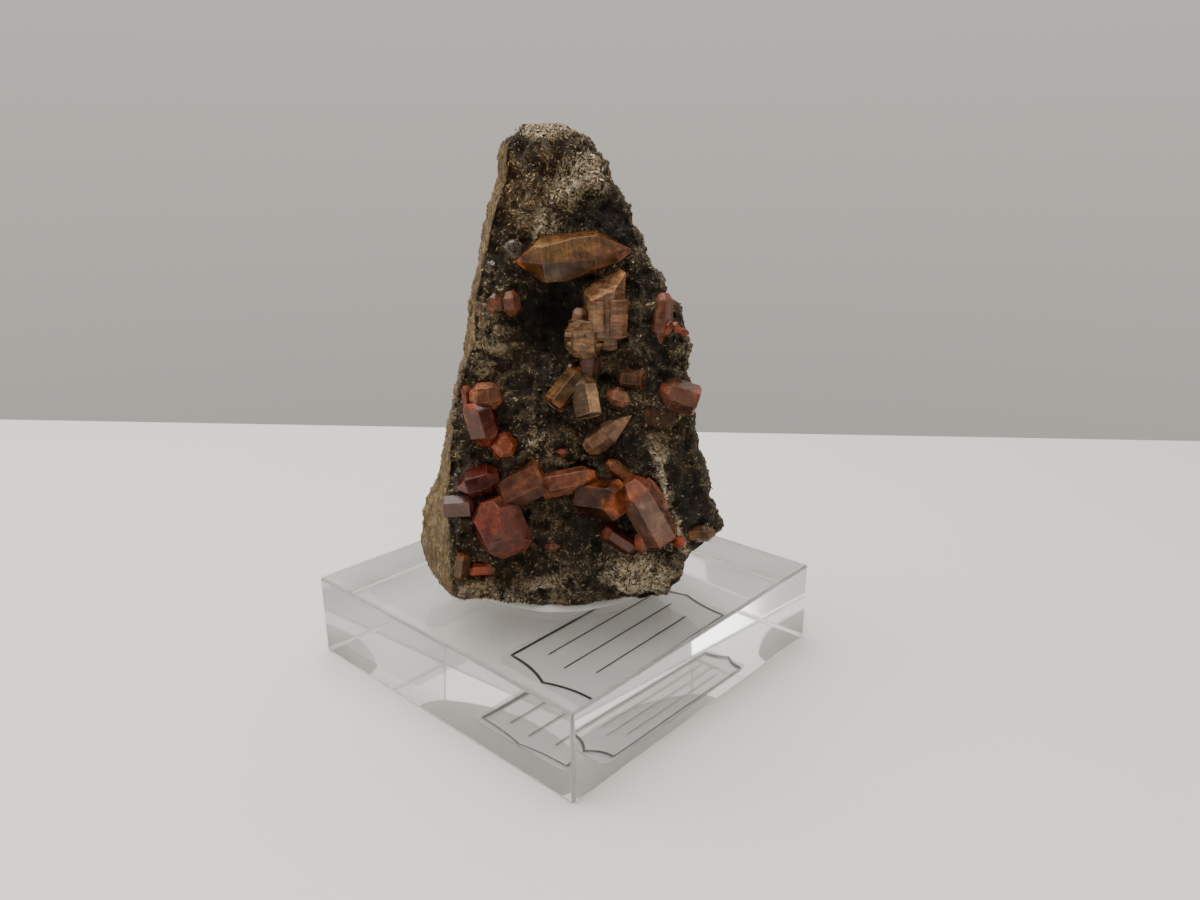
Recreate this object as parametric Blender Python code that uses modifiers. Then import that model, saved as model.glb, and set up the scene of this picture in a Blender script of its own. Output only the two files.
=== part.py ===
"""Crystals on a piece of rock, cemented upright to a square clear display block.

Metres, +Z up. The origin is the centre of the block's underside. The block
stands with one corner towards -Y, and the crystal face of the rock looks
towards -Y as well.

Two empties carry everything: "stand" (the block, turned by 45 degrees) and
"specimen" (the rock, its crystals and the pad under it), whose own origin is
the centre of the block's top face. Rock and crystal measures below are in
millimetres in the specimen's frame: x to the right along the crystal face,
y into the rock, z up from the block's top.
"""
import math

import bmesh
import bpy
import numpy as np
from mathutils import Matrix, Vector

MM = 0.001
GAP = 0.3                      # clearance kept between neighbouring solids

# ---- driving dimensions, mm --------------------------------------------------
BLOCK_SIDE = 50.8
BLOCK_HEIGHT = 12.0
BLOCK_EDGE = 0.4               # polished edge bevel
FILM_THICKNESS = 0.2
FILM_RECESS = 0.5
FILM_CORNER = 2.0
LABEL_FILM = (-2.75, -12.5, 30.5, 17.0)    # centre u, v and size along the block's sides
BLANK_FILM = (-3.4, 16.0, 30.8, 17.0)
PAD_RADIUS = 16.2
PAD_CENTRE = (-0.5, 3.4)
PAD_THICKNESS = 0.9
ROCK_FOOT = GAP + PAD_THICKNESS + GAP      # underside of the rock
ROCK_TOP = 61.6
SPECIMEN_TURN = math.radians(-2.81)        # rock against the block's diagonal
SURVEY_POINT = Vector((4.9, -120.0, 57.5))  # where the face was measured from

# ---- the rock's outline, pairs of height and x (or depth) --------------------
FACE_LEFT = [(0, -14.4), (3.4, -14.6), (9.6, -14.8), (15.9, -14.8), (19.1, -14.7), (23.8, -14.1),
             (28, -13.5), (31, -12.7), (35.5, -11.1), (39.6, -10.6), (43.7, -9.8), (50.2, -8.2),
             (53.4, -7.0), (55.6, -6.3), (59.0, -5.6), (60.4, -5.0), (61.2, -4.0), (61.6, -2.6)]
BACK_LEFT = [(0, -15.6), (1.4, -16.8), (3.9, -19.7), (6.5, -20.5), (8.5, -20.3), (10.7, -19.8), (13.1, -19.0),
             (16.4, -17.7), (22.4, -15.7), (26.4, -14.6), (31.9, -13.3), (38.6, -11.9), (45.9, -10.4),
             (53.3, -8.4), (58, -7.2), (59.4, -6.3), (60.6, -5.2), (61.6, -3.0)]
FACE_RIGHT = [(0, 11.4), (2.3, 14.5), (5, 16.5), (8.0, 17.3), (8.8, 19.4), (10.2, 21.9), (12, 21.3),
              (14.9, 20.0), (18.7, 18.7), (23, 17.8), (29.6, 17.5), (31.8, 16.5), (35.1, 16.8),
              (38.8, 15.6), (41.7, 13.7), (43.2, 13.5), (46.1, 11.3), (49.9, 9.7), (53.4, 7.8),
              (56.1, 6.6), (57.9, 5.3), (59.3, 3.7), (60.6, 2.2), (61.3, 1.2), (61.6, 0.2)]
THICKNESS = [(0, 24), (6, 26), (14, 25), (25, 21.5), (40, 16), (50, 11.5), (56, 8.5), (59.5, 6.0),
             (62, 3.6)]
FLANK_DEPTH = [(0, 3), (1.5, 4.5), (4, 8), (8, 9.5), (14, 8.5), (19, 7), (24, 5), (45, 4.4),
               (55, 3.6), (59, 2.4), (62, 1.2)]

# ---- broad shape of the crystal face: x, z, radius x, radius z, how far out ---
SWELLS = [(-1.6, 58.0, 2.6, 3.2, 1.0), (-3.0, 52.0, 1.6, 4.0, 0.8), (2.8, 51.5, 2.8, 3.4, -0.9),
          (-6.6, 50.5, 1.3, 2.2, -0.6), (-1.2, 39.0, 3.2, 4.2, -2.4), (-4.5, 33.5, 4.0, 4.0, -0.8),
          (4.5, 34.0, 5.0, 5.0, -0.4), (9.5, 38.0, 2.6, 6.0, 0.6), (-8.0, 24.0, 4.0, 6.0, -0.5),
          (0.5, 25.0, 5.0, 4.0, -0.7), (8.5, 19.5, 3.0, 4.0, -0.6), (-3.0, 10.5, 4.0, 5.0, -0.8),
          (9.0, 5.0, 4.6, 3.2, 1.7), (-6.0, 3.0, 5.0, 2.0, 0.6), (12.5, 21.0, 1.3, 4.0, 0.7),
          (15.0, 10.0, 1.6, 3.0, 0.8), (-11.5, 8.0, 2.0, 3.0, -0.5)]
RIDGE = [(0, 60.0), (6.5, 19.0), (9, 16.0), (10.1, 15.3), (16.9, 13.6), (23.4, 11.9), (27.5, 12.6),
         (30, 60.0)]           # beyond this x the face turns back and darkens


# flat broken faces behind: depth = a + b x + c z
BACK_FACES = [(12.5, 0.36, -0.16), (14.2, -0.46, -0.20), (10.6, 0.05, -0.185), (9.2, 0.9, 0.02)]


def along(table, z):
    t = np.array(table, float)
    return np.interp(z, t[:, 0], t[:, 1])


def face(x, z):
    """Depth y of the crystal face at x, z."""
    x, z = np.asarray(x, float), np.asarray(z, float)
    out = np.zeros(np.broadcast(x, z).shape)
    for cx, cz, rx, rz, a in SWELLS:
        out = out + a * np.exp(-((x - cx) / rx) ** 2 - ((z - cz) / rz) ** 2)
    out = out + 0.35 * np.sin(x * 0.83 + z * 0.31) * np.sin(z * 0.57 - x * 0.22 + 1.0)
    turn = np.clip(x - along(RIDGE, z), 0, None)
    return -13.13 + 0.1 * z - out + 0.5 * turn


def outline(z, n_face, n_side):
    """Closed outline of the rock at height z: the face from left to right,
    then round the back."""
    xl, xs, xr = along(FACE_LEFT, z), along(BACK_LEFT, z), along(FACE_RIGHT, z)
    depth, flank = along(THICKNESS, z), along(FLANK_DEPTH, z)
    y0, width, xe = -13.13 + 0.1 * z, xr - xs, xr - 0.7
    x = xl + (xe - xl) * np.linspace(0, 1, n_face)
    front = np.stack([x, face(x, z)], 1)
    ye = max(front[-1, 1], y0) + 0.3
    xm = (xr + xs) / 2
    turn = [front[-1], (xr, ye + 0.07 * depth), (xr - 0.05 * width, ye + 0.45 * depth),
            (xr - 0.17 * width, y0 + 0.86 * depth), (xm + 0.15 * width, y0 + depth),
            (xm - 0.14 * width, y0 + 0.97 * depth), (xs + 0.17 * width, y0 + 0.83 * depth),
            (xs + 0.035 * width, y0 + 0.58 * depth), (xs, y0 + flank),
            ((xs + xl) / 2 - 0.25, y0 + 0.5 * flank), front[0]]
    turn = np.array(turn, float)
    run = np.concatenate([[0], np.cumsum(np.linalg.norm(np.diff(turn, axis=0), axis=1))])
    s = np.linspace(0, run[-1], n_side + 2)[1:-1]
    side = np.stack([np.interp(s, run, turn[:, 0]), np.interp(s, run, turn[:, 1])], 1)
    for a, b, c in BACK_FACES:
        limit = np.maximum(a + b * side[:, 0] + c * z, y0 + flank + 0.4)
        side[:, 1] = np.where(side[:, 1] > limit, limit, side[:, 1])
    return np.concatenate([front, side])


# ---- crystals ---------------------------------------------------------------------
# group: rows of x, z on the face, lean of the axis in the face (degrees), length,
# width, tilt of the axis out of the face, stand-out of the axis, turn about the
# axis, then both ends: height of the taper as a share of the length, width left.
CRYSTALS = {
    "crystal_large_horizontal": [(1.4, 45.9, 5.8, 13.8, 5.2, 0, 0.9, 8, 0.24, 0.08, 0.33, 0.08)],
    "crystal_cluster_middle": [
        (6.5, 40.2, 87, 8.8, 3.3, 4, 1.3, 20, 0.10, 0.7, 0.30, 0.25),
        (2.9, 36.1, 88, 5.4, 4.8, 3, 1.2, 0, 0.20, 0.45, 0.12, 0.85),
        (4.9, 41.2, 62, 5.4, 4.0, 6, 1.0, 12, 0.10, 0.8, 0.30, 0.4),
        (4.0, 38.8, 88, 4.2, 2.4, 4, 2.2, 5, 0.10, 0.8, 0.16, 0.5),
        (5.7, 36.9, 80, 3.6, 3.0, 2, 1.6, 25, 0.16, 0.6, 0.10, 0.8),
        (3.5, 33.0, 85, 3.6, 2.4, 0, 0.6, 10, 0.05, 0.9, 0.05, 0.9),
        (0.0, 30.7, 48, 5.6, 2.7, 6, 0.7, 0, 0.08, 0.8, 0.24, 0.25),
        (2.8, 29.7, 100, 5.2, 3.0, -14, 0.9, 15, 0.03, 0.94, 0.24, 0.25),
        (0.9, 33.0, 80, 1.6, 1.1, 0, 0.8, 0, 0.25, 0.5, 0.25, 0.5)],
    "crystal_pair_upper_left": [
        (-7.95, 40.7, 80, 2.6, 1.9, 0, 0.5, 0, 0.28, 0.4, 0.28, 0.45),
        (-6.05, 40.7, 97, 3.1, 2.25, 0, 0.6, 20, 0.28, 0.35, 0.25, 0.5)],
    "crystal_oval_red": [(7.3, 29.1, -16, 3.3, 2.0, 0, 0.4, 0, 0.32, 0.3, 0.32, 0.3)],
    "crystal_short_brown": [(9.0, 31.2, -3, 2.7, 2.0, 8, 0.4, 20, 0.05, 0.9, 0.04, 0.92)],
    "crystal_spear_red": [(6.0, 24.5, 38, 7.3, 2.8, 4, 0.7, 10, 0.16, 0.5, 0.48, 0.05)],
    "crystal_cluster_right_edge": [
        (14.8, 29.1, -18, 5.0, 3.8, 6, 0.9, 12, 0.30, 0.3, 0.14, 0.7),
        (12.4, 26.7, -4, 3.9, 3.1, 0, 0.1, 0, 0.28, 0.4, 0.28, 0.45),
        (14.6, 31.6, 90, 1.8, 1.1, 0, 0.5, 0, 0.25, 0.5, 0.25, 0.5)],
    "crystal_sliver_orange": [(0.1, 21.9, 2, 1.6, 0.9, 0, 0.3, 0, 0.3, 0.3, 0.3, 0.3)],
    "crystal_cluster_right_upper": [
        (12.7, 38.6, 87, 6.4, 2.2, -4, 0.7, 10, 0.24, 0.15, 0.18, 0.4),
        (13.2, 37.7, 71, 2.2, 1.4, 10, 1.5, 0, 0.28, 0.4, 0.28, 0.4),
        (14.3, 37.5, 6, 1.6, 1.0, 0, 0.7, 0, 0.2, 0.6, 0.2, 0.6),
        (15.3, 37.1, -26, 1.5, 0.8, 0, 0.3, 0, 0.3, 0.3, 0.3, 0.3)],
    "crystal_cluster_left": [
        (-9.5, 29.2, 5, 4.0, 2.9, 6, 0.8, 15, 0.26, 0.45, 0.26, 0.5),
        (-9.8, 25.6, 99, 5.9, 3.9, -4, 0.9, 8, 0.24, 0.4, 0.14, 0.7),
        (-11.9, 28.4, 92, 4.0, 1.3, 0, 0.4, 0, 0.15, 0.5, 0.15, 0.5),
        (-7.35, 22.6, 60, 3.6, 3.5, 62, 1.0, 0, 0.1, 0.8, 0.16, 0.62)],
    "crystal_dark_double": [(-10.8, 18.0, 17, 5.8, 3.1, 0, 0.8, 20, 0.26, 0.12, 0.30, 0.12)],
    "crystal_left_prism": [(-13.3, 14.7, 5, 4.0, 2.75, 0, 0.5, 0, 0.05, 0.9, 0.18, 0.5)],
    "crystal_cluster_lower": [
        (-7.9, 12.0, -78, 7.9, 6.3, 5, 1.7, 12, 0.20, 0.55, 0.24, 0.45),
        (-5.0, 17.5, 28, 6.6, 3.5, 3, 0.9, 4, 0.18, 0.5, 0.08, 0.8),
        (0.9, 18.3, 17, 7.0, 2.75, 6, 1.0, 12, 0.10, 0.8, 0.22, 0.35),
        (4.7, 15.7, 10, 7.2, 4.4, 14, 1.3, 8, 0.18, 0.5, 0.10, 0.8),
        (7.2, 19.3, -39, 4.4, 1.9, 0, 0.5, 0, 0.22, 0.4, 0.15, 0.5),
        (11.1, 14.4, -66, 9.8, 4.2, -4, 1.5, 10, 0.24, 0.35, 0.08, 0.82),
        (12.3, 16.4, -58, 4.2, 1.0, 0, 1.2, 0, 0.2, 0.5, 0.2, 0.5),
        (7.4, 10.2, -32, 5.2, 2.05, 0, 0.8, 20, 0.16, 0.5, 0.14, 0.5),
        (10.1, 9.8, 93, 2.9, 1.6, 6, 0.9, 0, 0.2, 0.5, 0.2, 0.6)],
    "crystal_bead_orange": [(15.15, 9.9, -3, 1.5, 1.5, 30, 0.5, 0, 0.26, 0.5, 0.26, 0.5)],
    "crystal_right_foot": [(17.9, 11.0, 3, 3.7, 1.9, 0, 0.5, 18, 0.16, 0.5, 0.24, 0.3)],
    "crystal_pair_bottom_left": [
        (-13.3, 6.8, 81, 3.3, 2.1, 0, 0.6, 10, 0.12, 0.7, 0.12, 0.75),
        (-10.8, 6.2, 2, 3.7, 1.7, 0, 0.5, 20, 0.2, 0.4, 0.24, 0.35)],
    "crystal_small_oval": [(-1.35, 9.3, 4, 2.0, 1.0, 0, 0.3, 0, 0.3, 0.3, 0.3, 0.3)],
}
# clear rounded nodules: x, z, radius x, radius z, stand-out
NODULES = {"clear_nodule_upper": (-5.6, 47.1, 1.1, 1.3, 0.3),
           "clear_nodule_lower": (-8.3, 44.9, 0.7, 0.9, 0.2)}

# ---- scene ------------------------------------------------------------------------
for obj in list(bpy.data.objects):
    bpy.data.objects.remove(obj, do_unlink=True)

scene = bpy.context.scene
parts = bpy.data.collections.new("vanadinite_on_matrix")
guides = bpy.data.collections.new("cutters")
scene.collection.children.link(parts)
scene.collection.children.link(guides)


def empty(name, location, turn):
    obj = bpy.data.objects.new(name, None)
    obj.location = location
    obj.rotation_euler = (0, 0, turn)
    parts.objects.link(obj)
    return obj


stand = empty("stand", (0, 0, 0), math.radians(45))
specimen = empty("specimen", (0, 0, BLOCK_HEIGHT * MM), SPECIMEN_TURN)


def material(name, color, roughness, metallic=0.0, transmission=0.0, ior=1.5):
    mat = bpy.data.materials.new(name)
    mat.use_nodes = True
    bsdf = mat.node_tree.nodes["Principled BSDF"]
    bsdf.inputs["Base Color"].default_value = (*color, 1)
    bsdf.inputs["Roughness"].default_value = roughness
    bsdf.inputs["Metallic"].default_value = metallic
    bsdf.inputs["Transmission Weight"].default_value = transmission
    bsdf.inputs["IOR"].default_value = ior
    mat.diffuse_color = (*color, 1)
    return mat


def add(name, bm, parent, mat, cutter=False):
    mesh = bpy.data.meshes.new(name)
    bm.to_mesh(mesh)
    bm.free()
    obj = bpy.data.objects.new(name, mesh)
    obj.parent = parent
    (guides if cutter else parts).objects.link(obj)
    if cutter:
        obj.hide_render = True
        obj.display_type = "WIRE"
    else:
        mesh.materials.append(mat)
    return obj


def boolean(obj, other, operation):
    mod = obj.modifiers.new(operation.lower(), "BOOLEAN")
    mod.operation = operation
    mod.object = other
    mod.solver = "EXACT"


def settle(obj, tidy=True):
    """Make the modifiers' result the object's own mesh, as one body."""
    bpy.context.view_layer.update()
    graph = bpy.context.evaluated_depsgraph_get()
    mesh = bpy.data.meshes.new_from_object(obj.evaluated_get(graph))
    old, mats = obj.data, [m for m in obj.data.materials]
    obj.modifiers.clear()
    obj.data = mesh
    bpy.data.meshes.remove(old)
    mesh.materials.clear()
    for m in mats:
        mesh.materials.append(m)
    bm = bmesh.new()
    bm.from_mesh(mesh)
    if tidy:
        bmesh.ops.remove_doubles(bm, verts=bm.verts, dist=0.00002)
        bmesh.ops.dissolve_degenerate(bm, edges=bm.edges, dist=0.00001)
    islands, seen = [], set()
    for v in bm.verts:
        if v.index in seen:
            continue
        stack, island = [v], []
        seen.add(v.index)
        while stack:
            w = stack.pop()
            island.append(w)
            for e in w.link_edges:
                o = e.other_vert(w)
                if o.index not in seen:
                    seen.add(o.index)
                    stack.append(o)
        islands.append(island)
    islands.sort(key=len, reverse=True)
    loose = [v for island in islands[1:] for v in island]
    if loose:
        bmesh.ops.delete(bm, geom=loose, context="VERTS")
    bm.to_mesh(mesh)
    bm.free()


acrylic = material("clear_block", (0.92, 0.94, 0.94), 0.03, transmission=1.0, ior=1.49)
film = material("clear_film", (0.9, 0.9, 0.88), 0.25)
putty = material("white_pad", (0.86, 0.86, 0.83), 0.5)
rock = material("brown_rock", (0.10, 0.08, 0.06), 0.9)
red = material("red_crystal", (0.42, 0.13, 0.07), 0.3)
glassy = material("clear_nodule", (0.80, 0.78, 0.72), 0.1, transmission=0.8)

# ---- block with a shallow recess for each film --------------------------------------
bm = bmesh.new()
bmesh.ops.create_cube(bm, size=1.0)
bmesh.ops.scale(bm, vec=(BLOCK_SIDE * MM, BLOCK_SIDE * MM, BLOCK_HEIGHT * MM), verts=bm.verts)
bmesh.ops.translate(bm, vec=(0, 0, BLOCK_HEIGHT * MM / 2), verts=bm.verts)
block = add("base_block", bm, stand, acrylic)
edge = block.modifiers.new("edge", "BEVEL")
edge.width = BLOCK_EDGE * MM
edge.segments = 2


def plate(width, depth, z0, z1, corner):
    """Thin plate with rounded corners, centred on the origin."""
    m = bmesh.new()
    bmesh.ops.create_cube(m, size=1.0)
    bmesh.ops.scale(m, vec=(width * MM, depth * MM, (z1 - z0) * MM), verts=m.verts)
    bmesh.ops.translate(m, vec=(0, 0, (z0 + z1) / 2 * MM), verts=m.verts)
    upright = [e for e in m.edges if abs(e.verts[0].co.z - e.verts[1].co.z) > 1e-6]
    bmesh.ops.bevel(m, geom=upright, offset=corner * MM, segments=6, affect="EDGES", profile=0.5)
    return m


for name, (u, v, w, d) in (("label_film", LABEL_FILM), ("blank_film", BLANK_FILM)):
    recess = add(name + "_recess", plate(w + 2 * GAP, d + 2 * GAP, -1.0, FILM_RECESS,
                                         FILM_CORNER + GAP), stand, None, cutter=True)
    recess.location = (u * MM, v * MM, 0)
    boolean(block, recess, "DIFFERENCE")
    sheet = add(name, plate(w, d, 0.0, FILM_THICKNESS, FILM_CORNER), stand, film)
    sheet.location = (u * MM, v * MM, 0)

# ---- pad of set white putty, slightly uneven round its rim ----------------------------
bm = bmesh.new()
bmesh.ops.create_cone(bm, cap_ends=True, segments=48, radius1=PAD_RADIUS * MM,
                      radius2=(PAD_RADIUS - 0.35) * MM, depth=PAD_THICKNESS * MM)
for v in bm.verts:
    a = math.atan2(v.co.y, v.co.x)
    k = 1 + 0.012 * math.sin(3 * a + 0.6) + 0.008 * math.sin(7 * a)
    v.co.x *= k
    v.co.y *= k
bmesh.ops.translate(bm, vec=(PAD_CENTRE[0] * MM, PAD_CENTRE[1] * MM,
                             (GAP + PAD_THICKNESS / 2) * MM), verts=bm.verts)
add("mounting_pad", bm, specimen, putty)

# ---- rock: a loft through unlike outlines ------------------------------------------------
N_FACE, N_SIDE = 20, 17
LEVELS = [ROCK_FOOT, 3.2, 5.0, 6.6, 8.0, 9.0, 10.2, 12.0, 14.2, 16.4, 18.8, 21.2, 23.6, 25.8, 27.8,
          29.8, 31.8, 34, 36.2, 38.4, 40.6, 42.8, 45, 47.4, 49.8, 52.2, 54.4, 56.6, 58.4, 59.8,
          60.8, ROCK_TOP]
bm = bmesh.new()
rings = [[bm.verts.new((x * MM, y * MM, z * MM)) for x, y in outline(z, N_FACE, N_SIDE)]
         for z in LEVELS]
for low, high in zip(rings, rings[1:]):
    for i in range(len(low)):
        j = (i + 1) % len(low)
        bm.faces.new((low[i], low[j], high[j], high[i]))
bm.faces.new(list(reversed(rings[0])))
bm.faces.new(rings[-1])
bmesh.ops.recalc_face_normals(bm, faces=bm.faces)
bmesh.ops.triangulate(bm, faces=bm.faces)
matrix = add("matrix", bm, specimen, rock)

# the same body grown by the gap, to trim what is seated in the rock
grown = bpy.data.objects.new("matrix_grown", matrix.data.copy())
grown.parent = specimen
grown.hide_render = True
grown.display_type = "WIRE"
guides.objects.link(grown)
swell = grown.modifiers.new("swell", "DISPLACE")
swell.strength = GAP * MM * 1.15
swell.mid_level = 0.0


def seat(x, z, out):
    """Point on the face seen at x, z from the survey point, moved out by out."""
    start = Vector((x, -13.13 + 0.1 * z, z))
    point = start.copy()
    for _ in range(6):
        depth = float(face(point.x, point.z)) - out
        s = (depth - start.y) / (SURVEY_POINT.y - start.y)
        point = start + (SURVEY_POINT - start) * s
    return point


def prism(row):
    """Six-sided crystal with a taper at each end, placed on the face."""
    x, z, lean, length, width, tilt, out, turn, ha, ra, hb, rb = row
    radius = width / 1.87
    body = length * (1 - ha - hb)
    m = bmesh.new()
    bmesh.ops.create_cone(m, cap_ends=True, segments=6, radius1=radius * MM,
                          radius2=radius * MM, depth=body * MM)
    for side, h, r in ((-1, ha, ra), (1, hb, rb)):
        cap = [f for f in m.faces if f.normal.z * side > 0.9][0]
        top = bmesh.ops.extrude_discrete_faces(m, faces=[cap])["faces"][0]
        for v in top.verts:
            v.co.x *= r
            v.co.y *= r
            v.co.z += side * h * length * MM
    shift = (ha - hb) * length / 2
    bmesh.ops.translate(m, vec=(0, 0, shift * MM), verts=m.verts)
    a, t = math.radians(lean), math.radians(tilt)
    axis = Vector((math.cos(a) * math.cos(t), -math.sin(t), math.sin(a) * math.cos(t)))
    place = Matrix.Translation(seat(x, z, out) * MM) @ axis.to_track_quat("Z", "Y").to_matrix().to_4x4() \
        @ Matrix.Rotation(math.radians(turn), 4, "Z")
    bmesh.ops.transform(m, matrix=place, verts=m.verts)
    return m


for name, rows in CRYSTALS.items():
    first = add(name, prism(rows[0]), specimen, red)
    spare = []
    for k, row in enumerate(rows[1:]):
        other = add(f"{name}_arm_{k + 1}", prism(row), specimen, None, cutter=True)
        boolean(first, other, "UNION")
        spare.append(other)
    boolean(first, grown, "DIFFERENCE")
    settle(first)
    for other in spare:
        bpy.data.objects.remove(other, do_unlink=True)

for name, (x, z, rx, rz, out) in NODULES.items():
    bm = bmesh.new()
    bmesh.ops.create_icosphere(bm, subdivisions=2, radius=1.0)
    bmesh.ops.scale(bm, vec=(rx * MM, rx * MM, rz * MM), verts=bm.verts)
    bmesh.ops.translate(bm, vec=seat(x, z, out) * MM, verts=bm.verts)
    nodule = add(name, bm, specimen, glassy)
    boolean(nodule, grown, "DIFFERENCE")
    settle(nodule)
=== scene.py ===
import itertools
import math

import bmesh
import bpy
import numpy as np
from mathutils import Matrix, Vector


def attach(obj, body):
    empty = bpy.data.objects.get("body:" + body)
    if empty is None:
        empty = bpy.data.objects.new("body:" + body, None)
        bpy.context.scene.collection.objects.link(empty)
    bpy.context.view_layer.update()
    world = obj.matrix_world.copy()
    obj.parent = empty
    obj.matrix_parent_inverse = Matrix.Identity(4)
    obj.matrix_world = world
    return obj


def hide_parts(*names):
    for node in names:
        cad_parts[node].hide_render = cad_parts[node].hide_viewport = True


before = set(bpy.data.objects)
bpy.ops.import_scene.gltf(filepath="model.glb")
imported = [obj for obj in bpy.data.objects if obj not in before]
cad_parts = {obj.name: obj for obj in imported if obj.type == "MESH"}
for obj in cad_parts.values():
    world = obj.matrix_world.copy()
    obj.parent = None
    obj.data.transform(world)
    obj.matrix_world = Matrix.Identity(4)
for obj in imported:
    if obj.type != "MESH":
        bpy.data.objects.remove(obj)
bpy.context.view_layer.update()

MM = 0.001
BLOCK_SIDE, BLOCK_HEIGHT, BLOCK_EDGE = 50.8, 12.0, 0.4
SPECIMEN_TURN = math.radians(-2.81)
SURVEY_POINT = np.array([4.9, -120.0, 57.5])
ROCK_FOOT, ROCK_TOP = 0.70, 61.5

# =============================================================================
# numeric noise, in millimetres
# =============================================================================


def lattice(ix, iy, iz, seed):
    h = (ix * 73856093) ^ (iy * 19349663) ^ (iz * 83492791) ^ (seed * 2654435761)
    h = h & 0xFFFFFFFF
    h = ((h ^ (h >> 16)) * 0x45D9F3B) & 0xFFFFFFFF
    h = ((h ^ (h >> 16)) * 0x45D9F3B) & 0xFFFFFFFF
    h = h ^ (h >> 16)
    return h / 4294967295.0


def value_noise(p, seed):
    """Smooth noise from -1 to 1 at points p (N, 3), lattice step 1."""
    q = np.floor(p).astype(np.int64)
    f = p - q
    f = f * f * f * (f * (f * 6 - 15) + 10)
    out = 0.0
    for dx in (0, 1):
        wx = f[:, 0] if dx else 1 - f[:, 0]
        for dy in (0, 1):
            wy = f[:, 1] if dy else 1 - f[:, 1]
            for dz in (0, 1):
                wz = f[:, 2] if dz else 1 - f[:, 2]
                out = out + wx * wy * wz * lattice(q[:, 0] + dx, q[:, 1] + dy, q[:, 2] + dz, seed)
    return out * 2 - 1


def fbm(p, size, octaves, seed, gain=0.5):
    total, amp, norm = 0.0, 1.0, 0.0
    for k in range(octaves):
        total = total + amp * value_noise(p / size * 2 ** k + 17.3 * k, seed + k)
        norm += amp
        amp *= gain
    return total / norm


def ridged(p, size, octaves, seed):
    total, amp, norm = 0.0, 1.0, 0.0
    for k in range(octaves):
        total = total + amp * (1 - 2 * np.abs(value_noise(p / size * 2 ** k + 9.1 * k, seed + k)))
        norm += amp
        amp *= 0.55
    return total / norm


def cells(p, size, seed):
    """Distance to the nearest and second jittered cell point, and the nearest one's number."""
    q = p / size
    base = np.floor(q).astype(np.int64)
    f1 = np.full(len(p), 9.0)
    f2 = np.full(len(p), 9.0)
    own = np.zeros(len(p))
    for dx in (-1, 0, 1):
        for dy in (-1, 0, 1):
            for dz in (-1, 0, 1):
                c = base + (dx, dy, dz)
                j = [lattice(c[:, 0], c[:, 1], c[:, 2], seed + k) for k in range(3)]
                d = np.sqrt(sum((c[:, k] + j[k] - q[:, k]) ** 2 for k in range(3)))
                near = d < f1
                f2 = np.where(near, f1, np.minimum(f2, d))
                own = np.where(near, j[0] * 0.5 + j[1] * 0.5, own)
                f1 = np.where(near, d, f1)
    return f1, f2, own


# =============================================================================
# the rock's shape, as in the CAD
# =============================================================================
FACE_LEFT = [(0, -14.4), (3.4, -14.6), (9.6, -14.8), (15.9, -14.8), (19.1, -14.7), (23.8, -14.1),
             (28, -13.5), (31, -12.7), (35.5, -11.1), (39.6, -10.6), (43.7, -9.8), (50.2, -8.2),
             (53.4, -7.0), (55.6, -6.4), (59.0, -5.9), (60.0, -5.6), (60.8, -5.2), (61.2, -4.8), (61.6, -4.2)]
BACK_LEFT = [(0, -15.6), (1.4, -16.8), (3.9, -19.7), (6.5, -20.5), (8.5, -20.3), (10.7, -19.8), (13.1, -19.0),
             (16.4, -17.7), (22.4, -15.7), (26.4, -14.6), (31.9, -13.3), (38.6, -11.9), (45.9, -10.4),
             (53.3, -8.3), (58, -7.1), (59.4, -6.6), (60.6, -6.0), (61.6, -5.0)]
FACE_RIGHT = [(0, 8.6), (1.4, 10.6), (2.6, 12.7), (4.2, 15.2), (5.4, 16.4), (8.0, 17.0), (8.8, 19.4), (10.2, 21.9), (12, 21.3),
              (14.9, 20.0), (18.7, 18.7), (23, 17.8), (29.6, 17.5), (31.8, 16.5), (35.1, 16.8),
              (38.8, 15.6), (41.7, 13.7), (43.2, 13.5), (46.1, 11.3), (49.9, 9.7), (53.4, 7.8),
              (56.1, 6.3), (57.9, 5.2), (59.3, 4.1), (60.0, 3.6), (60.6, 2.7), (61.0, 2.2), (61.3, 1.8), (61.6, 1.0)]
THICKNESS = [(0, 24), (6, 26), (14, 25), (25, 21.5), (40, 16), (50, 11.5), (56, 8.5), (59.5, 6.0),
             (62, 3.6)]
FLANK_DEPTH = [(0, 3), (1.5, 4.5), (4, 8), (8, 9.5), (14, 8.5), (19, 7), (24, 5), (45, 4.4),
               (55, 3.6), (59, 2.4), (62, 1.2)]
SWELLS = [(-1.6, 58.0, 2.6, 3.2, 1.0), (-3.0, 52.0, 1.6, 4.0, 0.8), (2.8, 51.5, 2.8, 3.4, -0.9),
          (-6.6, 50.5, 1.3, 2.2, -0.6), (-1.2, 39.0, 3.2, 4.2, -2.4), (-4.5, 33.5, 4.0, 4.0, -0.8),
          (4.5, 34.0, 5.0, 5.0, -0.4), (9.5, 38.0, 2.6, 6.0, 0.6), (-8.0, 24.0, 4.0, 6.0, -0.5),
          (0.5, 25.0, 5.0, 4.0, -0.7), (8.5, 19.5, 3.0, 4.0, -0.6), (-3.0, 10.5, 4.0, 5.0, -0.8),
          (9.0, 5.0, 4.6, 3.2, 1.7), (-6.0, 3.0, 5.0, 2.0, 0.6), (12.5, 21.0, 1.3, 4.0, 0.7),
          (15.0, 10.0, 1.6, 3.0, 0.8), (-11.5, 8.0, 2.0, 3.0, -0.5)]
RIDGE = [(0, 60.0), (6.5, 19.0), (9, 16.0), (10.1, 15.3), (16.9, 13.6), (23.4, 11.9), (27.5, 12.6),
         (30, 60.0)]
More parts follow.
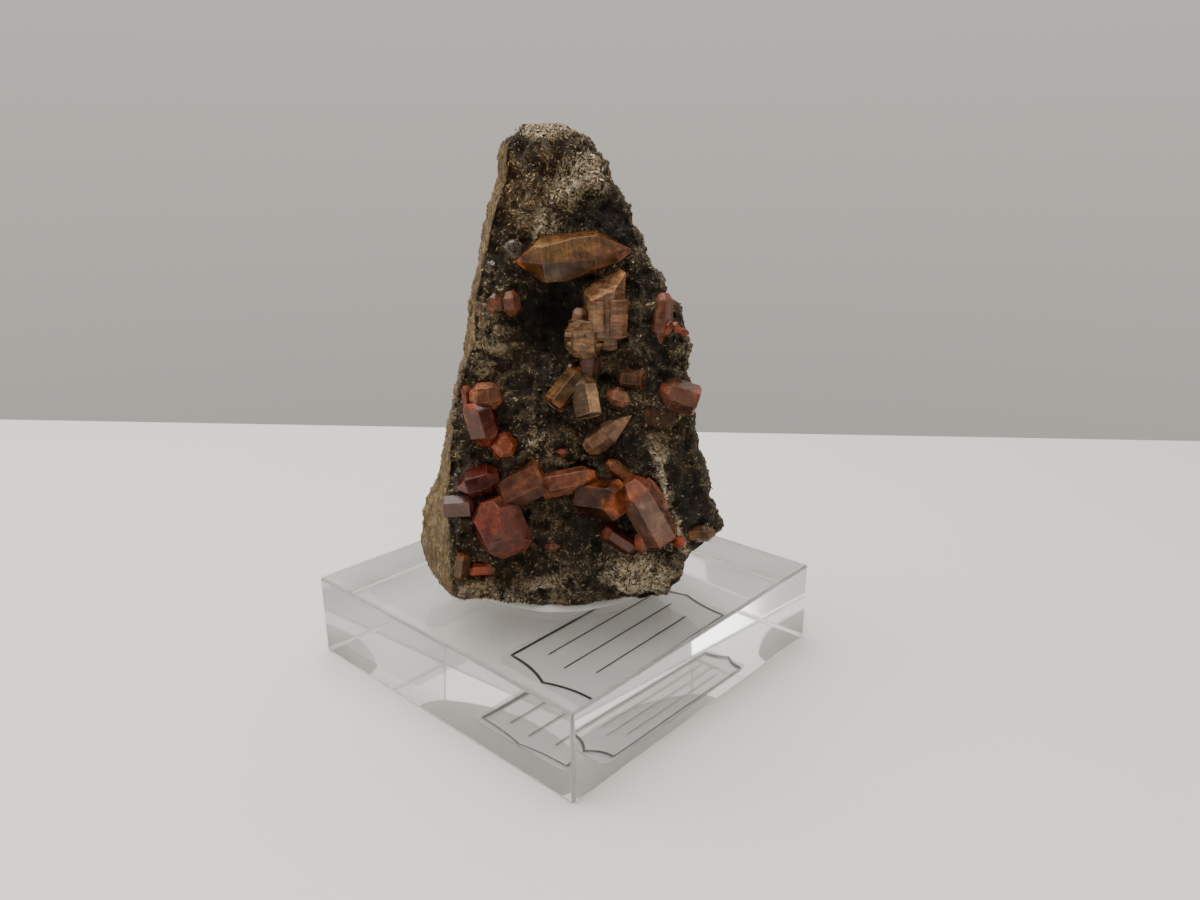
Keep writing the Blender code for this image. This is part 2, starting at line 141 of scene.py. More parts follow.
BACK_FACES = [(12.5, 0.36, -0.16), (14.2, -0.46, -0.20), (10.6, 0.05, -0.185), (9.2, 0.9, 0.02)]


def along(table, z):
    t = np.array(table, float)
    return np.interp(z, t[:, 0], t[:, 1])


def face(x, z):
    x, z = np.asarray(x, float), np.asarray(z, float)
    out = np.zeros(np.broadcast(x, z).shape)
    for cx, cz, rx, rz, a in SWELLS:
        out = out + a * np.exp(-((x - cx) / rx) ** 2 - ((z - cz) / rz) ** 2)
    out = out + 0.35 * np.sin(x * 0.83 + z * 0.31) * np.sin(z * 0.57 - x * 0.22 + 1.0)
    turn = np.clip(x - along(RIDGE, z), 0, None)
    return -13.13 + 0.1 * z - out + 0.5 * turn


def outline(z, n_face, n_side):
    xl, xs, xr = along(FACE_LEFT, z), along(BACK_LEFT, z), along(FACE_RIGHT, z)
    depth, flank = along(THICKNESS, z), along(FLANK_DEPTH, z)
    y0, width, xe = -13.13 + 0.1 * z, xr - xs, xr - 0.7
    x = xl + (xe - xl) * np.linspace(0, 1, n_face)
    front = np.stack([x, face(x, z)], 1)
    ye = max(front[-1, 1], y0) + 0.3
    xm = (xr + xs) / 2
    turn = [front[-1], (xr, ye + 0.07 * depth), (xr - 0.05 * width, ye + 0.45 * depth),
            (xr - 0.17 * width, y0 + 0.86 * depth), (xm + 0.15 * width, y0 + depth),
            (xm - 0.14 * width, y0 + 0.97 * depth), (xs + 0.17 * width, y0 + 0.83 * depth),
            (xs + 0.035 * width, y0 + 0.58 * depth), (xs, y0 + flank),
            ((xs + xl) / 2 - 0.25, y0 + 0.5 * flank), front[0]]
    turn = np.array(turn, float)
    run = np.concatenate([[0], np.cumsum(np.linalg.norm(np.diff(turn, axis=0), axis=1))])
    s = np.linspace(0, run[-1], n_side + 2)[1:-1]
    side = np.stack([np.interp(s, run, turn[:, 0]), np.interp(s, run, turn[:, 1])], 1)
    for a, b, c in BACK_FACES:
        limit = np.maximum(a + b * side[:, 0] + c * z, y0 + flank + 0.4)
        side[:, 1] = np.where(side[:, 1] > limit, limit, side[:, 1])
    return np.concatenate([front, side])


def seat(x, z, out):
    """Point on the face seen at x, z from the survey point, moved out by out."""
    start = np.array([x, -13.13 + 0.1 * z, z])
    point = start.copy()
    for _ in range(6):
        depth = float(face(point[0], point[2])) - out
        s = (depth - start[1]) / (SURVEY_POINT[1] - start[1])
        point = start + (SURVEY_POINT - start) * s
    return point


TURN = Matrix.Rotation(SPECIMEN_TURN, 3, "Z")
TURN_NP = np.array(TURN)


def to_row(p):
    """Specimen millimetres to row metres."""
    q = p @ TURN_NP.T
    q[:, 2] += BLOCK_HEIGHT
    return q * MM


def blob(x, z, spots):
    total = np.zeros(len(x))
    for cx, cz, rx, rz, a in spots:
        total += a * np.exp(-((x - cx) / rx) ** 2 - ((z - cz) / rz) ** 2)
    return total


# =============================================================================
# mesh helpers
# =============================================================================


def mesh_object(name, verts, faces, mats, smooth=True):
    """Object from arrays of row-frame metres; faces may mix sizes."""
    me = bpy.data.meshes.new(name)
    verts = np.asarray(verts, np.float32)
    me.vertices.add(len(verts))
    me.vertices.foreach_set("co", verts.ravel())
    if isinstance(faces, np.ndarray):
        count, size = faces.shape
        loops = faces.ravel().astype(np.int32)
        starts = np.arange(count, dtype=np.int32) * size
    else:
        sizes = np.array([len(f) for f in faces], np.int32)
        loops = np.concatenate([np.asarray(f, np.int32) for f in faces])
        starts = np.concatenate([[0], np.cumsum(sizes)[:-1]]).astype(np.int32)
        count = len(faces)
    me.loops.add(len(loops))
    me.loops.foreach_set("vertex_index", loops)
    me.polygons.add(count)
    me.polygons.foreach_set("loop_start", starts)
    me.update(calc_edges=True)
    me.validate()
    me.polygons.foreach_set("use_smooth", np.full(len(me.polygons), smooth))
    for m in mats:
        me.materials.append(m)
    ob = bpy.data.objects.new(name, me)
    bpy.context.scene.collection.objects.link(ob)
    return ob


def paint(ob, name, values):
    """Point attribute: one number, or a colour, or a vector for each vertex."""
    values = np.asarray(values, np.float32)
    if values.ndim == 1:
        ob.data.attributes.new(name, "FLOAT", "POINT").data.foreach_set("value", values)
    elif values.shape[1] == 3:
        ob.data.attributes.new(name, "FLOAT_VECTOR", "POINT").data.foreach_set("vector", values.ravel())
    else:
        ob.data.attributes.new(name, "FLOAT_COLOR", "POINT").data.foreach_set("color", values.ravel())


def own(ob, slot, *nodes):
    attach(ob, "root")
    if nodes:
        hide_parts(*nodes)


# =============================================================================
# node helpers
# =============================================================================
class Nodes:
    def __init__(self, name):
        self.mat = bpy.data.materials.new(name)
        self.mat.use_nodes = True
        self.tree = self.mat.node_tree
        self.bsdf = self.tree.nodes["Principled BSDF"]
        self.out = self.tree.nodes["Material Output"]

    def new(self, kind, **props):
        n = self.tree.nodes.new(kind)
        for k, v in props.items():
            setattr(n, k, v)
        return n

    def put(self, socket, value):
        if isinstance(value, bpy.types.NodeSocket):
            self.tree.links.new(value, socket)
        else:
            socket.default_value = value

    def math(self, op, a, b=0.0, c=0.0, clamp=False):
        n = self.new("ShaderNodeMath", operation=op, use_clamp=clamp)
        self.put(n.inputs[0], a)
        self.put(n.inputs[1], b)
        self.put(n.inputs[2], c)
        return n.outputs[0]

    def mix(self, fac, a, b, blend="MIX"):
        n = self.new("ShaderNodeMix", data_type="RGBA", blend_type=blend)
        self.put(n.inputs["Factor"], fac)
        self.put(n.inputs[6], a)
        self.put(n.inputs[7], b)
        return n.outputs[2]

    def attr(self, name, output="Fac"):
        return self.new("ShaderNodeAttribute", attribute_name=name).outputs[output]

    def coords(self, scale):
        """Row-frame position times scale (1000 gives millimetres)."""
        c = self.new("ShaderNodeTexCoord").outputs["Object"]
        m = self.new("ShaderNodeMapping")
        self.put(m.inputs["Vector"], c)
        m.inputs["Scale"].default_value = scale if isinstance(scale, tuple) else (scale,) * 3
        return m.outputs[0]

    def scale(self, vec, s):
        m = self.new("ShaderNodeMapping")
        self.put(m.inputs["Vector"], vec)
        m.inputs["Scale"].default_value = s if isinstance(s, tuple) else (s,) * 3
        return m.outputs[0]

    def noise(self, vec, scale, detail=3.0, rough=0.55, dist=0.0, out=0):
        n = self.new("ShaderNodeTexNoise")
        self.put(n.inputs["Vector"], vec)
        n.inputs["Scale"].default_value = scale
        n.inputs["Detail"].default_value = detail
        n.inputs["Roughness"].default_value = rough
        n.inputs["Distortion"].default_value = dist
        return n.outputs[out]

    def voronoi(self, vec, scale, out="Distance", feature="F1", rand=1.0):
        n = self.new("ShaderNodeTexVoronoi", feature=feature)
        self.put(n.inputs["Vector"], vec)
        n.inputs["Scale"].default_value = scale
        n.inputs["Randomness"].default_value = rand
        return n.outputs[out]

    def ramp(self, fac, stops, mode="LINEAR"):
        n = self.new("ShaderNodeValToRGB")
        n.color_ramp.interpolation = mode
        el = n.color_ramp.elements
        while len(el) < len(stops):
            el.new(0.5)
        for e, (pos, col) in zip(el, stops):
            e.position = pos
            e.color = (*col, 1) if len(col) == 3 else col
        self.put(n.inputs[0], fac)
        return n.outputs[0]

    def smooth(self, x, lo, hi):
        n = self.new("ShaderNodeMapRange", interpolation_type="SMOOTHSTEP")
        self.put(n.inputs["Value"], x)
        self.put(n.inputs["From Min"], lo)
        self.put(n.inputs["From Max"], hi)
        return n.outputs[0]

    def bump(self, height, strength, distance, normal=None):
        n = self.new("ShaderNodeBump")
        n.inputs["Strength"].default_value = strength
        n.inputs["Distance"].default_value = distance
        self.put(n.inputs["Height"], height)
        if normal is not None:
            self.put(n.inputs["Normal"], normal)
        return n.outputs[0]

    def first(self, color, k=0):
        n = self.new("ShaderNodeSeparateColor")
        self.put(n.inputs[0], color)
        return n.outputs[k]


# =============================================================================
# rock
# =============================================================================
N_FACE, N_SIDE, N_ROWS = 224, 118, 272


def rock_material():
    m = Nodes("rock")
    c = m.coords(1000.0)
    patch = m.noise(c, 0.32, 3.0, 0.6)
    fine = m.noise(c, 1.15, 4.0, 0.62)
    fibre = m.noise(c, 2.6, 5.0, 0.78, 1.1)
    grit = m.noise(c, 6.2, 3.0, 0.78, 0.6)
    hue = m.noise(c, 1.5, 2.0, 0.5, out=1)
    speck, tan, black, pale, brown, hollow = (m.attr(k) for k in ("speck", "tan", "black", "pale", "brown", "hollow"))

    base = m.ramp(fine, [(0.34, (0.013, 0.010, 0.0075)), (0.5, (0.034, 0.026, 0.017)),
                         (0.66, (0.085, 0.064, 0.038))])
    base = m.mix(m.math("MULTIPLY", brown, 0.9, clamp=True), base,
                 m.ramp(fine, [(0.36, (0.030, 0.017, 0.007)), (0.64, (0.205, 0.118, 0.042))]))
    base = m.mix(m.math("MULTIPLY", m.smooth(grit, 0.46, 0.64), 0.55), base, (0.095, 0.068, 0.040, 1))
    base = m.mix(m.math("MULTIPLY", black, 0.80, clamp=True), base, m.ramp(grit, [(0.40, (0.006, 0.0055, 0.005)), (0.62, (0.036, 0.032, 0.028))]))
    # flecks: the denser the speckle, the more of the fibre noise is light
    lift = m.math("MULTIPLY_ADD", patch, 0.24, m.math("MULTIPLY_ADD", speck, 0.38, -0.17))
    m1 = m.smooth(m.math("ADD", fibre, lift), 0.58, 0.64)
    m2 = m.smooth(m.math("ADD", grit, lift), 0.60, 0.66)
    warm = m.ramp(m.first(hue, 0), [(0.33, (0.185, 0.095, 0.029)), (0.46, (0.220, 0.150, 0.070)),
                                    (0.56, (0.290, 0.215, 0.120)), (0.68, (0.170, 0.160, 0.145))])
    cold = m.ramp(m.first(hue, 1), [(0.33, (0.30, 0.20, 0.090)), (0.47, (0.50, 0.395, 0.245)),
                                    (0.60, (0.72, 0.65, 0.52)), (0.72, (0.38, 0.375, 0.37))])
    light = m.mix(pale, warm, cold)
    light = m.mix(m.math("MULTIPLY", black, 0.65, clamp=True), light, (0.085, 0.070, 0.052, 1))
    col = m.mix(m.math("MULTIPLY", m2, 0.65), base, m.mix(0.40, light, base))
    col = m.mix(m.math("MULTIPLY", m1, 0.90), col, light)
    # tan rind of the flank, in streaks along its layers
    streak = m.noise(m.scale(c, (1.9, 1.9, 0.42)), 1.0, 5.0, 0.66, 0.5)
    tanc = m.ramp(streak, [(0.32, (0.060, 0.036, 0.015)), (0.44, (0.175, 0.112, 0.044)),
                           (0.56, (0.320, 0.222, 0.098)), (0.72, (0.52, 0.425, 0.26))])
    tanc = m.mix(m.math("MULTIPLY", m.smooth(fibre, 0.50, 0.62), 0.50), tanc, (0.050, 0.033, 0.017, 1))
    tanc = m.mix(m.math("MULTIPLY", m.smooth(patch, 0.48, 0.60), 0.50), tanc, (0.115, 0.088, 0.058, 1))
    edge = m.smooth(m.math("ADD", tan, m.math("MULTIPLY", m.math("ADD", fibre, -0.5), 0.9)), 0.34, 0.6)
    col = m.mix(edge, col, tanc)
    # pits, creases and hollows darkened nearly to black: painted shade
    col = m.mix(m.math("MULTIPLY", hollow, 0.66, clamp=True), col, (0.006, 0.005, 0.004, 1))
    m.put(m.bsdf.inputs["Base Color"], col)
    m.put(m.bsdf.inputs["Roughness"], m.ramp(grit, [(0.35, (0.50,) * 3), (0.65, (0.9,) * 3)]))
    m.bsdf.inputs["Specular IOR Level"].default_value = 0.30
    h = m.math("ADD", m.math("MULTIPLY", fibre, 1.0), m.math("MULTIPLY", fine, 0.8))
    h = m.math("ADD", h, m.math("MULTIPLY", grit, 0.6))
    m.put(m.bsdf.inputs["Normal"], m.bump(h, 1.0, 0.00058))
    return m.mat


def make_rock():
    t = np.linspace(0, 1, N_ROWS)
    zs = ROCK_FOOT + (ROCK_TOP - ROCK_FOOT) * t
    rings = []
    for z in zs:
        o = outline(z, N_FACE, N_SIDE)
        rings.append(np.column_stack([o, np.full(len(o), z)]))
    P = np.array(rings)
    n = P.shape[1]
    # smooth the planar corners a little round the side
    for _ in range(3):
        side = P[:, N_FACE - 2:, :]
        avg = (np.roll(P, 1, 1) + np.roll(P, -1, 1)) / 2
        P[:, N_FACE - 2:, :2] = 0.5 * side[:, :, :2] + 0.5 * avg[:, N_FACE - 2:, :2]
    # caps: rings drawn in to the middle
    top_c = P[-1].mean(0)
    bot_c = P[0].mean(0)
    tops = [top_c + (P[-1] - top_c) * k + (0, 0, 0.0) for k in (0.75, 0.5, 0.25)]
    bots = [bot_c + (P[0] - bot_c) * k for k in (0.2, 0.4, 0.6, 0.8, 0.93)]
    P = np.concatenate([np.array(bots), P, np.array(tops)])
    nb = len(bots)
    rows = len(P)
    du = np.roll(P, -1, 1) - np.roll(P, 1, 1)
    dv = np.empty_like(P)
    dv[1:-1] = P[2:] - P[:-2]
    dv[0], dv[-1] = P[1] - P[0], P[-1] - P[-2]
    N = np.cross(du, dv)
    N /= np.linalg.norm(N, axis=2, keepdims=True) + 1e-9
    p = P.reshape(-1, 3)
    nrm = N.reshape(-1, 3)
    col = np.tile(np.arange(n), rows)
    front = ((col > 3) & (col < N_FACE - 2)).astype(float)
    ramp_in = np.clip(np.minimum(col / 6.0, (N_FACE - 1 - col) / 8.0), 0, 1)
    frontness = np.where(col < N_FACE, ramp_in, 0.0)
    x, z = p[:, 0], p[:, 2]
    # relief, coarse to fine
    wob = 0.25 * np.stack([value_noise(p / 0.8, k) for k in (3, 4, 5)], 1)
    d = 0.75 * fbm(p, 6.0, 2, 11) - 0.14 - 0.16 * (frontness < 0.9)
    d += 0.85 * ridged(p + fbm(p, 3.0, 1, 5)[:, None] * 0.6, 2.8, 3, 21)
    lump = fbm(p + 40.0, 1.7, 2, 27)
    d += 0.42 * np.sign(lump) * np.abs(lump) ** 0.7
    f1, f2, own_id = cells(p + wob, 0.95, 31)
    d += (own_id - 0.5) * 0.40 * np.clip((f2 - f1) * 4, 0, 1)
    g1, g2, gid = cells(p + wob * 0.5, 0.46, 41)
    grit = (gid - 0.45) * np.clip((g2 - g1) * 3.5, 0, 1)
    d += grit * 0.34
    d += 0.12 * fbm(p, 0.40, 2, 51)
    crown = np.clip((z - 58.5) / 2.5, 0, 1)
    d = d * (1 - 0.55 * crown)
    # left flank: layered and fibrous, smoother than the face
    left_side = (col >= N_FACE) & (x < -3) & (p[:, 1] < 1.5)
    lam = p.copy()
    lam[:, 2] *= 0.30
    layers = ridged(lam, 0.9, 3, 61) * 0.30 + fbm(lam, 2.2, 2, 71) * 0.40 + 0.16 * fbm(p, 0.5, 2, 72)
    layers += 0.12 * ridged(p, 5.0, 2, 75)
    flank_w = np.where(left_side, 1.0, 0.0)
    flank_w = flank_w.reshape(rows, n)
    for _ in range(3):
        flank_w = (np.roll(flank_w, 1, 1) + flank_w + np.roll(flank_w, -1, 1)) / 3
    flank_w = flank_w.ravel() * np.clip((60.2 - z) / 2.0, 0, 1)
    d = d * (1 - 0.72 * flank_w) + layers * flank_w
    grid = d.reshape(rows, n)
    mean = grid.copy()
    for k in (1, 2, 2):
        mean = (mean + np.roll(mean, k, 1) + np.roll(mean, -k, 1) + np.roll(mean, 2 * k, 1) + np.roll(mean, -2 * k, 1)) / 5
        mean[2 * k:-2 * k] = (mean[2 * k:-2 * k] + mean[k:-3 * k] + mean[3 * k:-k] + mean[:-4 * k] + mean[4 * k:]) / 5
    cavity = (grid - mean).ravel()
    back_w = np.clip((p[:, 1] + 2) / 6, 0, 1) * (frontness == 0)
    d = d * (1 - 0.20 * back_w)
    d = d - 0.12 * (frontness < 0.9)
    # pits in the face
    pits = [(-1.2, 38.5, 2.6, 3.2, 1.5), (-4.6, 36.5, 1.6, 1.6, 0.6), (1.0, 36.0, 1.2, 2.2, 0.6),
            (2.6, 44.0, 3.0, 0.9, 0.5), (-6.8, 50.6, 1.0, 1.5, 0.6), (-4.4, 47.2, 0.9, 0.9, 0.4),
            (6.5, 20.8, 1.4, 1.0, 0.6), (-6.5, 14.6, 1.0, 3.0, 0.4), (3.0, 12.3, 3.2, 0.8, 0.5)]
    pit = blob(x, z, pits) * frontness
    d -= pit
    # loosely knobbed black ground on the lower right
    knob = blob(x, z, [(17.5, 15.5, 3.0, 6.0, 1.0), (14.5, 33.5, 3.0, 3.0, 0.6)])
    k1, k2, kid = cells(p, 1.5, 47)
    d += np.clip(knob, 0, 1) * (0.5 - k1) * 0.95
    low = np.clip((p[:, 2] - ROCK_FOOT) / 1.2, 0.0, 1.0)
    tuck = 0.55 * (1 - low) ** 2
    p = p + nrm * (d * (0.25 + 0.75 * low) - tuck)[:, None]
    # uneven under edge over the pad
    ang = np.arctan2(p[:, 1] - 3.4, p[:, 0] + 0.5)
    lift = 0.34 + 0.34 * value_noise(np.stack([ang * 5.5, ang * 0, ang * 0], 1), 66) \
        + 0.16 * value_noise(np.stack([ang * 21, ang * 0, ang * 0], 1), 67)
    reach = np.hypot(p[:, 0] + 0.5, p[:, 1] - 3.4)
    lift = lift * np.clip((reach - 9) / 5, 0, 1)
    lift += 1.5 * np.clip((reach - 16.2) / 3.0, 0, 1)
    p[:, 2] = np.maximum(p[:, 2], ROCK_FOOT + lift)
    p[:, 2] -= crown * (0.02 + 0.42 * ridged(p * (1, 1, 0.2), 1.5, 3, 35) + 0.09 * np.clip(-x - 1.5, 0, 4) * crown)
    p[:, 2] = np.clip(p[:, 2], ROCK_FOOT, 61.58)

    # paint
    ridge_x = along(RIDGE, z)
    on_ridge = np.exp(-((x - ridge_x + 0.3 + 0.5 * value_noise(p / 0.9, 83)) / 0.68) ** 2) * np.clip((24.5 - z) / 2.0, 0, 1) * (z > 8)
    # rim: the top band is painted pale, its whitish crust and painted top light together
    rim = np.clip((z - 59.0 - 0.25 * np.abs(x + 1.0)) / 1.4, 0, 1)
    speck = 0.15 + 0.12 * fbm(p, 4.5, 2, 81)
    speck += frontness * (blob(x, z, [
        (4.3, 57.3, 1.9, 1.6, 0.55), (2.2, 55.0, 2.5, 2.1, 0.65), (0.2, 53.4, 1.7, 1.7, 0.60),
        (-1.3, 51.2, 1.2, 1.8, 0.52), (-2.3, 49.2, 1.3, 1.9, 0.52), (-0.8, 49.8, 1.6, 0.7, 0.35),
        (-3.4, 56.6, 1.4, 1.2, 0.25), (-3.4, 53.2, 1.6, 1.5, 0.28), (-6.0, 53.5, 1.8, 3.6, 0.06), (-4.2, 50.2, 1.6, 2.2, 0.12), (5.2, 55.6, 2.0, 2.2, 0.45), (1.0, 56.4, 2.2, 1.4, 0.35),
        (6.3, 50.6, 3.4, 3.0, -0.05), (-9.0, 37.4, 2.8, 4.2, 0.32), (-8.5, 31.5, 2.6, 2.6, 0.12), (-3.4, 23.3, 1.6, 1.3, 0.45),
        (-2.5, 28.5, 3.6, 2.6, 0.10), (-7.0, 31.5, 2.6, 2.0, 0.10), (-1.0, 21.0, 1.6, 1.4, 0.20),
        (9.0, 6.2, 4.8, 3.0, 0.56), (12.6, 5.4, 2.8, 2.6, 0.48), (7.5, 8.6, 2.0, 1.4, 0.20),
        (-2.5, 12.5, 2.2, 3.4, 0.16), (-8.0, 2.8, 4.6, 1.9, 0.30), (-11.8, 3.0, 2.4, 2.2, 0.30),
        (-2.4, 3.9, 2.4, 1.6, 0.36), (2.0, 1.9, 4.6, 1.0, 0.20), (9.5, 39.5, 1.8, 3.0, 0.10),
        (15.5, 36.0, 1.2, 2.0, 0.22), (5.6, 31.6, 2.2, 3.0, 0.12), (10.8, 28.2, 1.8, 1.4, 0.14),
        # the negative spot at -1.0, 39.0 thins the light flecks in the pit under the large crystal: painted shadow
        (-1.0, 39.0, 3.2, 4.0, -0.30), (4.0, 9.5, 2.2, 3.0, -0.10), (17.0, 14.8, 3.4, 5.0, -0.20)])
        + on_ridge * 0.85)
    speck += (1 - frontness) * 0.14 + rim * 0.60
    pale = 0.08 + frontness * (blob(x, z, [
        (4.3, 57.3, 2.0, 1.7, 0.75), (2.0, 55.0, 2.2, 2.0, 0.65), (0.2, 53.4, 1.4, 1.4, 0.65), (5.4, 55.8, 1.8, 2.0, 0.6),
        (-1.3, 51.2, 1.0, 1.7, 0.55), (-2.3, 49.0, 1.1, 1.6, 0.65), (-0.8, 49.8, 1.6, 0.7, 0.6),
        (-3.4, 56.6, 0.9, 0.8, 0.5), (10.2, 5.6, 5.4, 3.2, 0.85), (-3.4, 23.3, 1.5, 1.2, 0.6),
        (-9.0, 2.2, 5.0, 1.5, 0.55), (-2.4, 3.9, 2.0, 1.2, 0.45), (-8.8, 37.0, 1.6, 1.8, 0.25)])
        + on_ridge * 0.80) + rim * 0.70
    brown = frontness * blob(x, z, [
        (-5.2, 57.4, 1.8, 2.0, 0.5), (-6.2, 54.6, 1.8, 2.6, 0.6), (-3.6, 53.4, 2.2, 2.2, 0.7), (-1.5, 57.4, 2.0, 1.6, 0.5), (1.6, 56.6, 2.0, 1.2, 0.4),
        (-6.4, 50.4, 1.6, 3.2, 0.55), (-3.6, 50.4, 1.4, 2.4, 0.6), (-0.8, 56.8, 1.6, 1.5, 0.6),
        (0.8, 51.6, 1.2, 1.0, 0.4), (-0.2, 55.0, 1.2, 1.0, 0.5), (6.4, 55.6, 1.4, 1.4, 0.3),
        (7.8, 47.6, 1.6, 0.9, 0.3), (-9.6, 41.0, 1.4, 2.0, 0.2), (-8.5, 35.0, 2.6, 2.4, 0.15),
        (12.6, 24.4, 2.0, 2.6, 0.6), (15.6, 26.0, 1.6, 2.2, 0.55), (15.4, 19.4, 2.2, 1.0, 0.6),
        (-4.2, 20.2, 2.0, 1.6, 0.45), (0.5, 24.0, 2.4, 2.2, 0.25), (-2.5, 12.0, 2.4, 3.0, 0.3),
        (-9.0, 5.0, 5.0, 2.6, 0.22), (-12.0, 11.0, 1.4, 3.0, 0.2), (6.5, 33.0, 4.0, 4.0, 0.22),
        (15.4, 34.5, 1.8, 3.0, 0.25), (3.4, 22.4, 1.2, 1.4, 0.4), (-4.5, 36.0, 2.0, 2.0, 0.2)])
    tan = flank_w * 0.95
    # tan strip along the face's left edge: the flank's rind colour and a painted highlight on the lit edge
    lip = frontness * np.exp(-((col - 2.0) / 2.4) ** 2)
    tan = np.maximum(tan, lip * (0.55 + 0.4 * fbm(p, 1.2, 2, 92)) * (z > 3))
    tan *= 1 - 0.30 * np.exp(-((z - 27.0) / 5.0) ** 2) * flank_w
    tan += back_w * (0.26 + 0.30 * fbm(p, 6.0, 3, 95))
    black = frontness * blob(x, z, [
        (5.4, 52.0, 2.8, 1.8, 0.75), (7.2, 49.2, 2.6, 2.4, 0.8), (3.4, 50.4, 1.8, 1.5, 0.45),
        (-3.2, 58.6, 2.0, 0.9, 0.5), (2.6, 58.8, 1.5, 0.8, 0.45), (-4.6, 55.4, 1.2, 1.3, 0.35),
        (17.6, 14.8, 3.2, 4.6, 1.0), (15.0, 20.8, 2.0, 2.0, 0.3), (13.0, 17.6, 1.2, 2.5, 0.5),
        (10.6, 42.0, 2.2, 4.0, 0.45), (11.0, 36.0, 2.2, 3.4, 0.45), (13.2, 32.8, 2.0, 2.2, 0.6),
        (6.6, 22.0, 2.0, 2.0, 0.5), (9.6, 22.2, 1.8, 3.0, 0.6), (8.0, 27.4, 1.6, 1.6, 0.25),
        # the spot at -1.0, 39.0 blackens the pit under the large crystal: painted shadow and shade
        (-1.0, 39.0, 3.4, 4.4, 0.75), (2.9, 12.4, 2.2, 3.2, 0.45), (4.4, 5.8, 1.2, 3.6, 0.5),
        (3.0, 1.6, 3.0, 1.2, 0.2)])
    right_side = (col >= N_FACE) & (x > 8) & (p[:, 1] < 3)
    black += right_side * 0.45 * np.clip((36 - z) / 14, 0, 1)
    black = black * (1 - 0.8 * np.clip(on_ridge * 1.6, 0, 1))
    # hollow: where shade is painted, in pits, low grit cells, dips between lumps and concave spots; concave spots also
    # get fewer light flecks
    hollow = np.clip(pit * 0.6, 0, 1) + np.clip(-grit * 2.0 - 0.30, 0, 1) * 0.75 + np.clip(-lump * 1.5 - 0.45, 0, 1) * 0.25
    hollow += np.clip(-cavity * 1.9 - 0.16, 0, 0.7) * (1 - 0.6 * flank_w)
    hollow *= 1 - 0.55 * back_w
    speck += np.clip(cavity * 0.6, -0.15, 0.15)

    q = to_row(p)
    r, s = np.meshgrid(np.arange(rows - 1), np.arange(n), indexing="ij")
    a = (r * n + s).ravel()
    b = (r * n + (s + 1) % n).ravel()
    quads = np.stack([a, b, b + n, a + n], 1)
    faces = [tuple(f) for f in quads.tolist()]
    faces.append(tuple(range(n - 1, -1, -1)))
    last = (rows - 1) * n
    faces.append(tuple(range(last, last + n)))
    rock = mesh_object("rock", q, faces, [rock_material()])
    paint(rock, "speck", np.clip(speck, 0, 1))
    paint(rock, "tan", np.clip(tan, 0, 1))
    paint(rock, "black", np.clip(black, 0, 1))
    paint(rock, "pale", np.clip(pale, 0, 1))
    paint(rock, "brown", np.clip(brown, 0, 1))
    paint(rock, "hollow", np.clip(hollow, 0, 1))
    own(rock, "brown_rock", "matrix")
    area = np.linalg.norm(np.cross(du, dv), axis=2).ravel() * (1 - 0.35 * (frontness == 0))
    return [p, nrm, area] + [np.clip(v, 0, 1) for v in (speck, pale, black, tan, brown, hollow)]


def fibre_material():
    m = Nodes("fibre")
    c = m.coords(1000.0)
    n = m.noise(c, 5.0, 2.0)
    col = m.mix(0.6, m.attr("tone", "Color"), m.ramp(n, [(0.35, (0.55, 0.50, 0.45)), (0.65, (1.2, 1.18, 1.15))]), "MULTIPLY")
    m.put(m.bsdf.inputs["Base Color"], col)
    m.put(m.bsdf.inputs["Roughness"], m.ramp(n, [(0.35, (0.35,) * 3), (0.65, (0.65,) * 3)]))
    m.bsdf.inputs["Specular IOR Level"].default_value = 0.35
    return m.mat


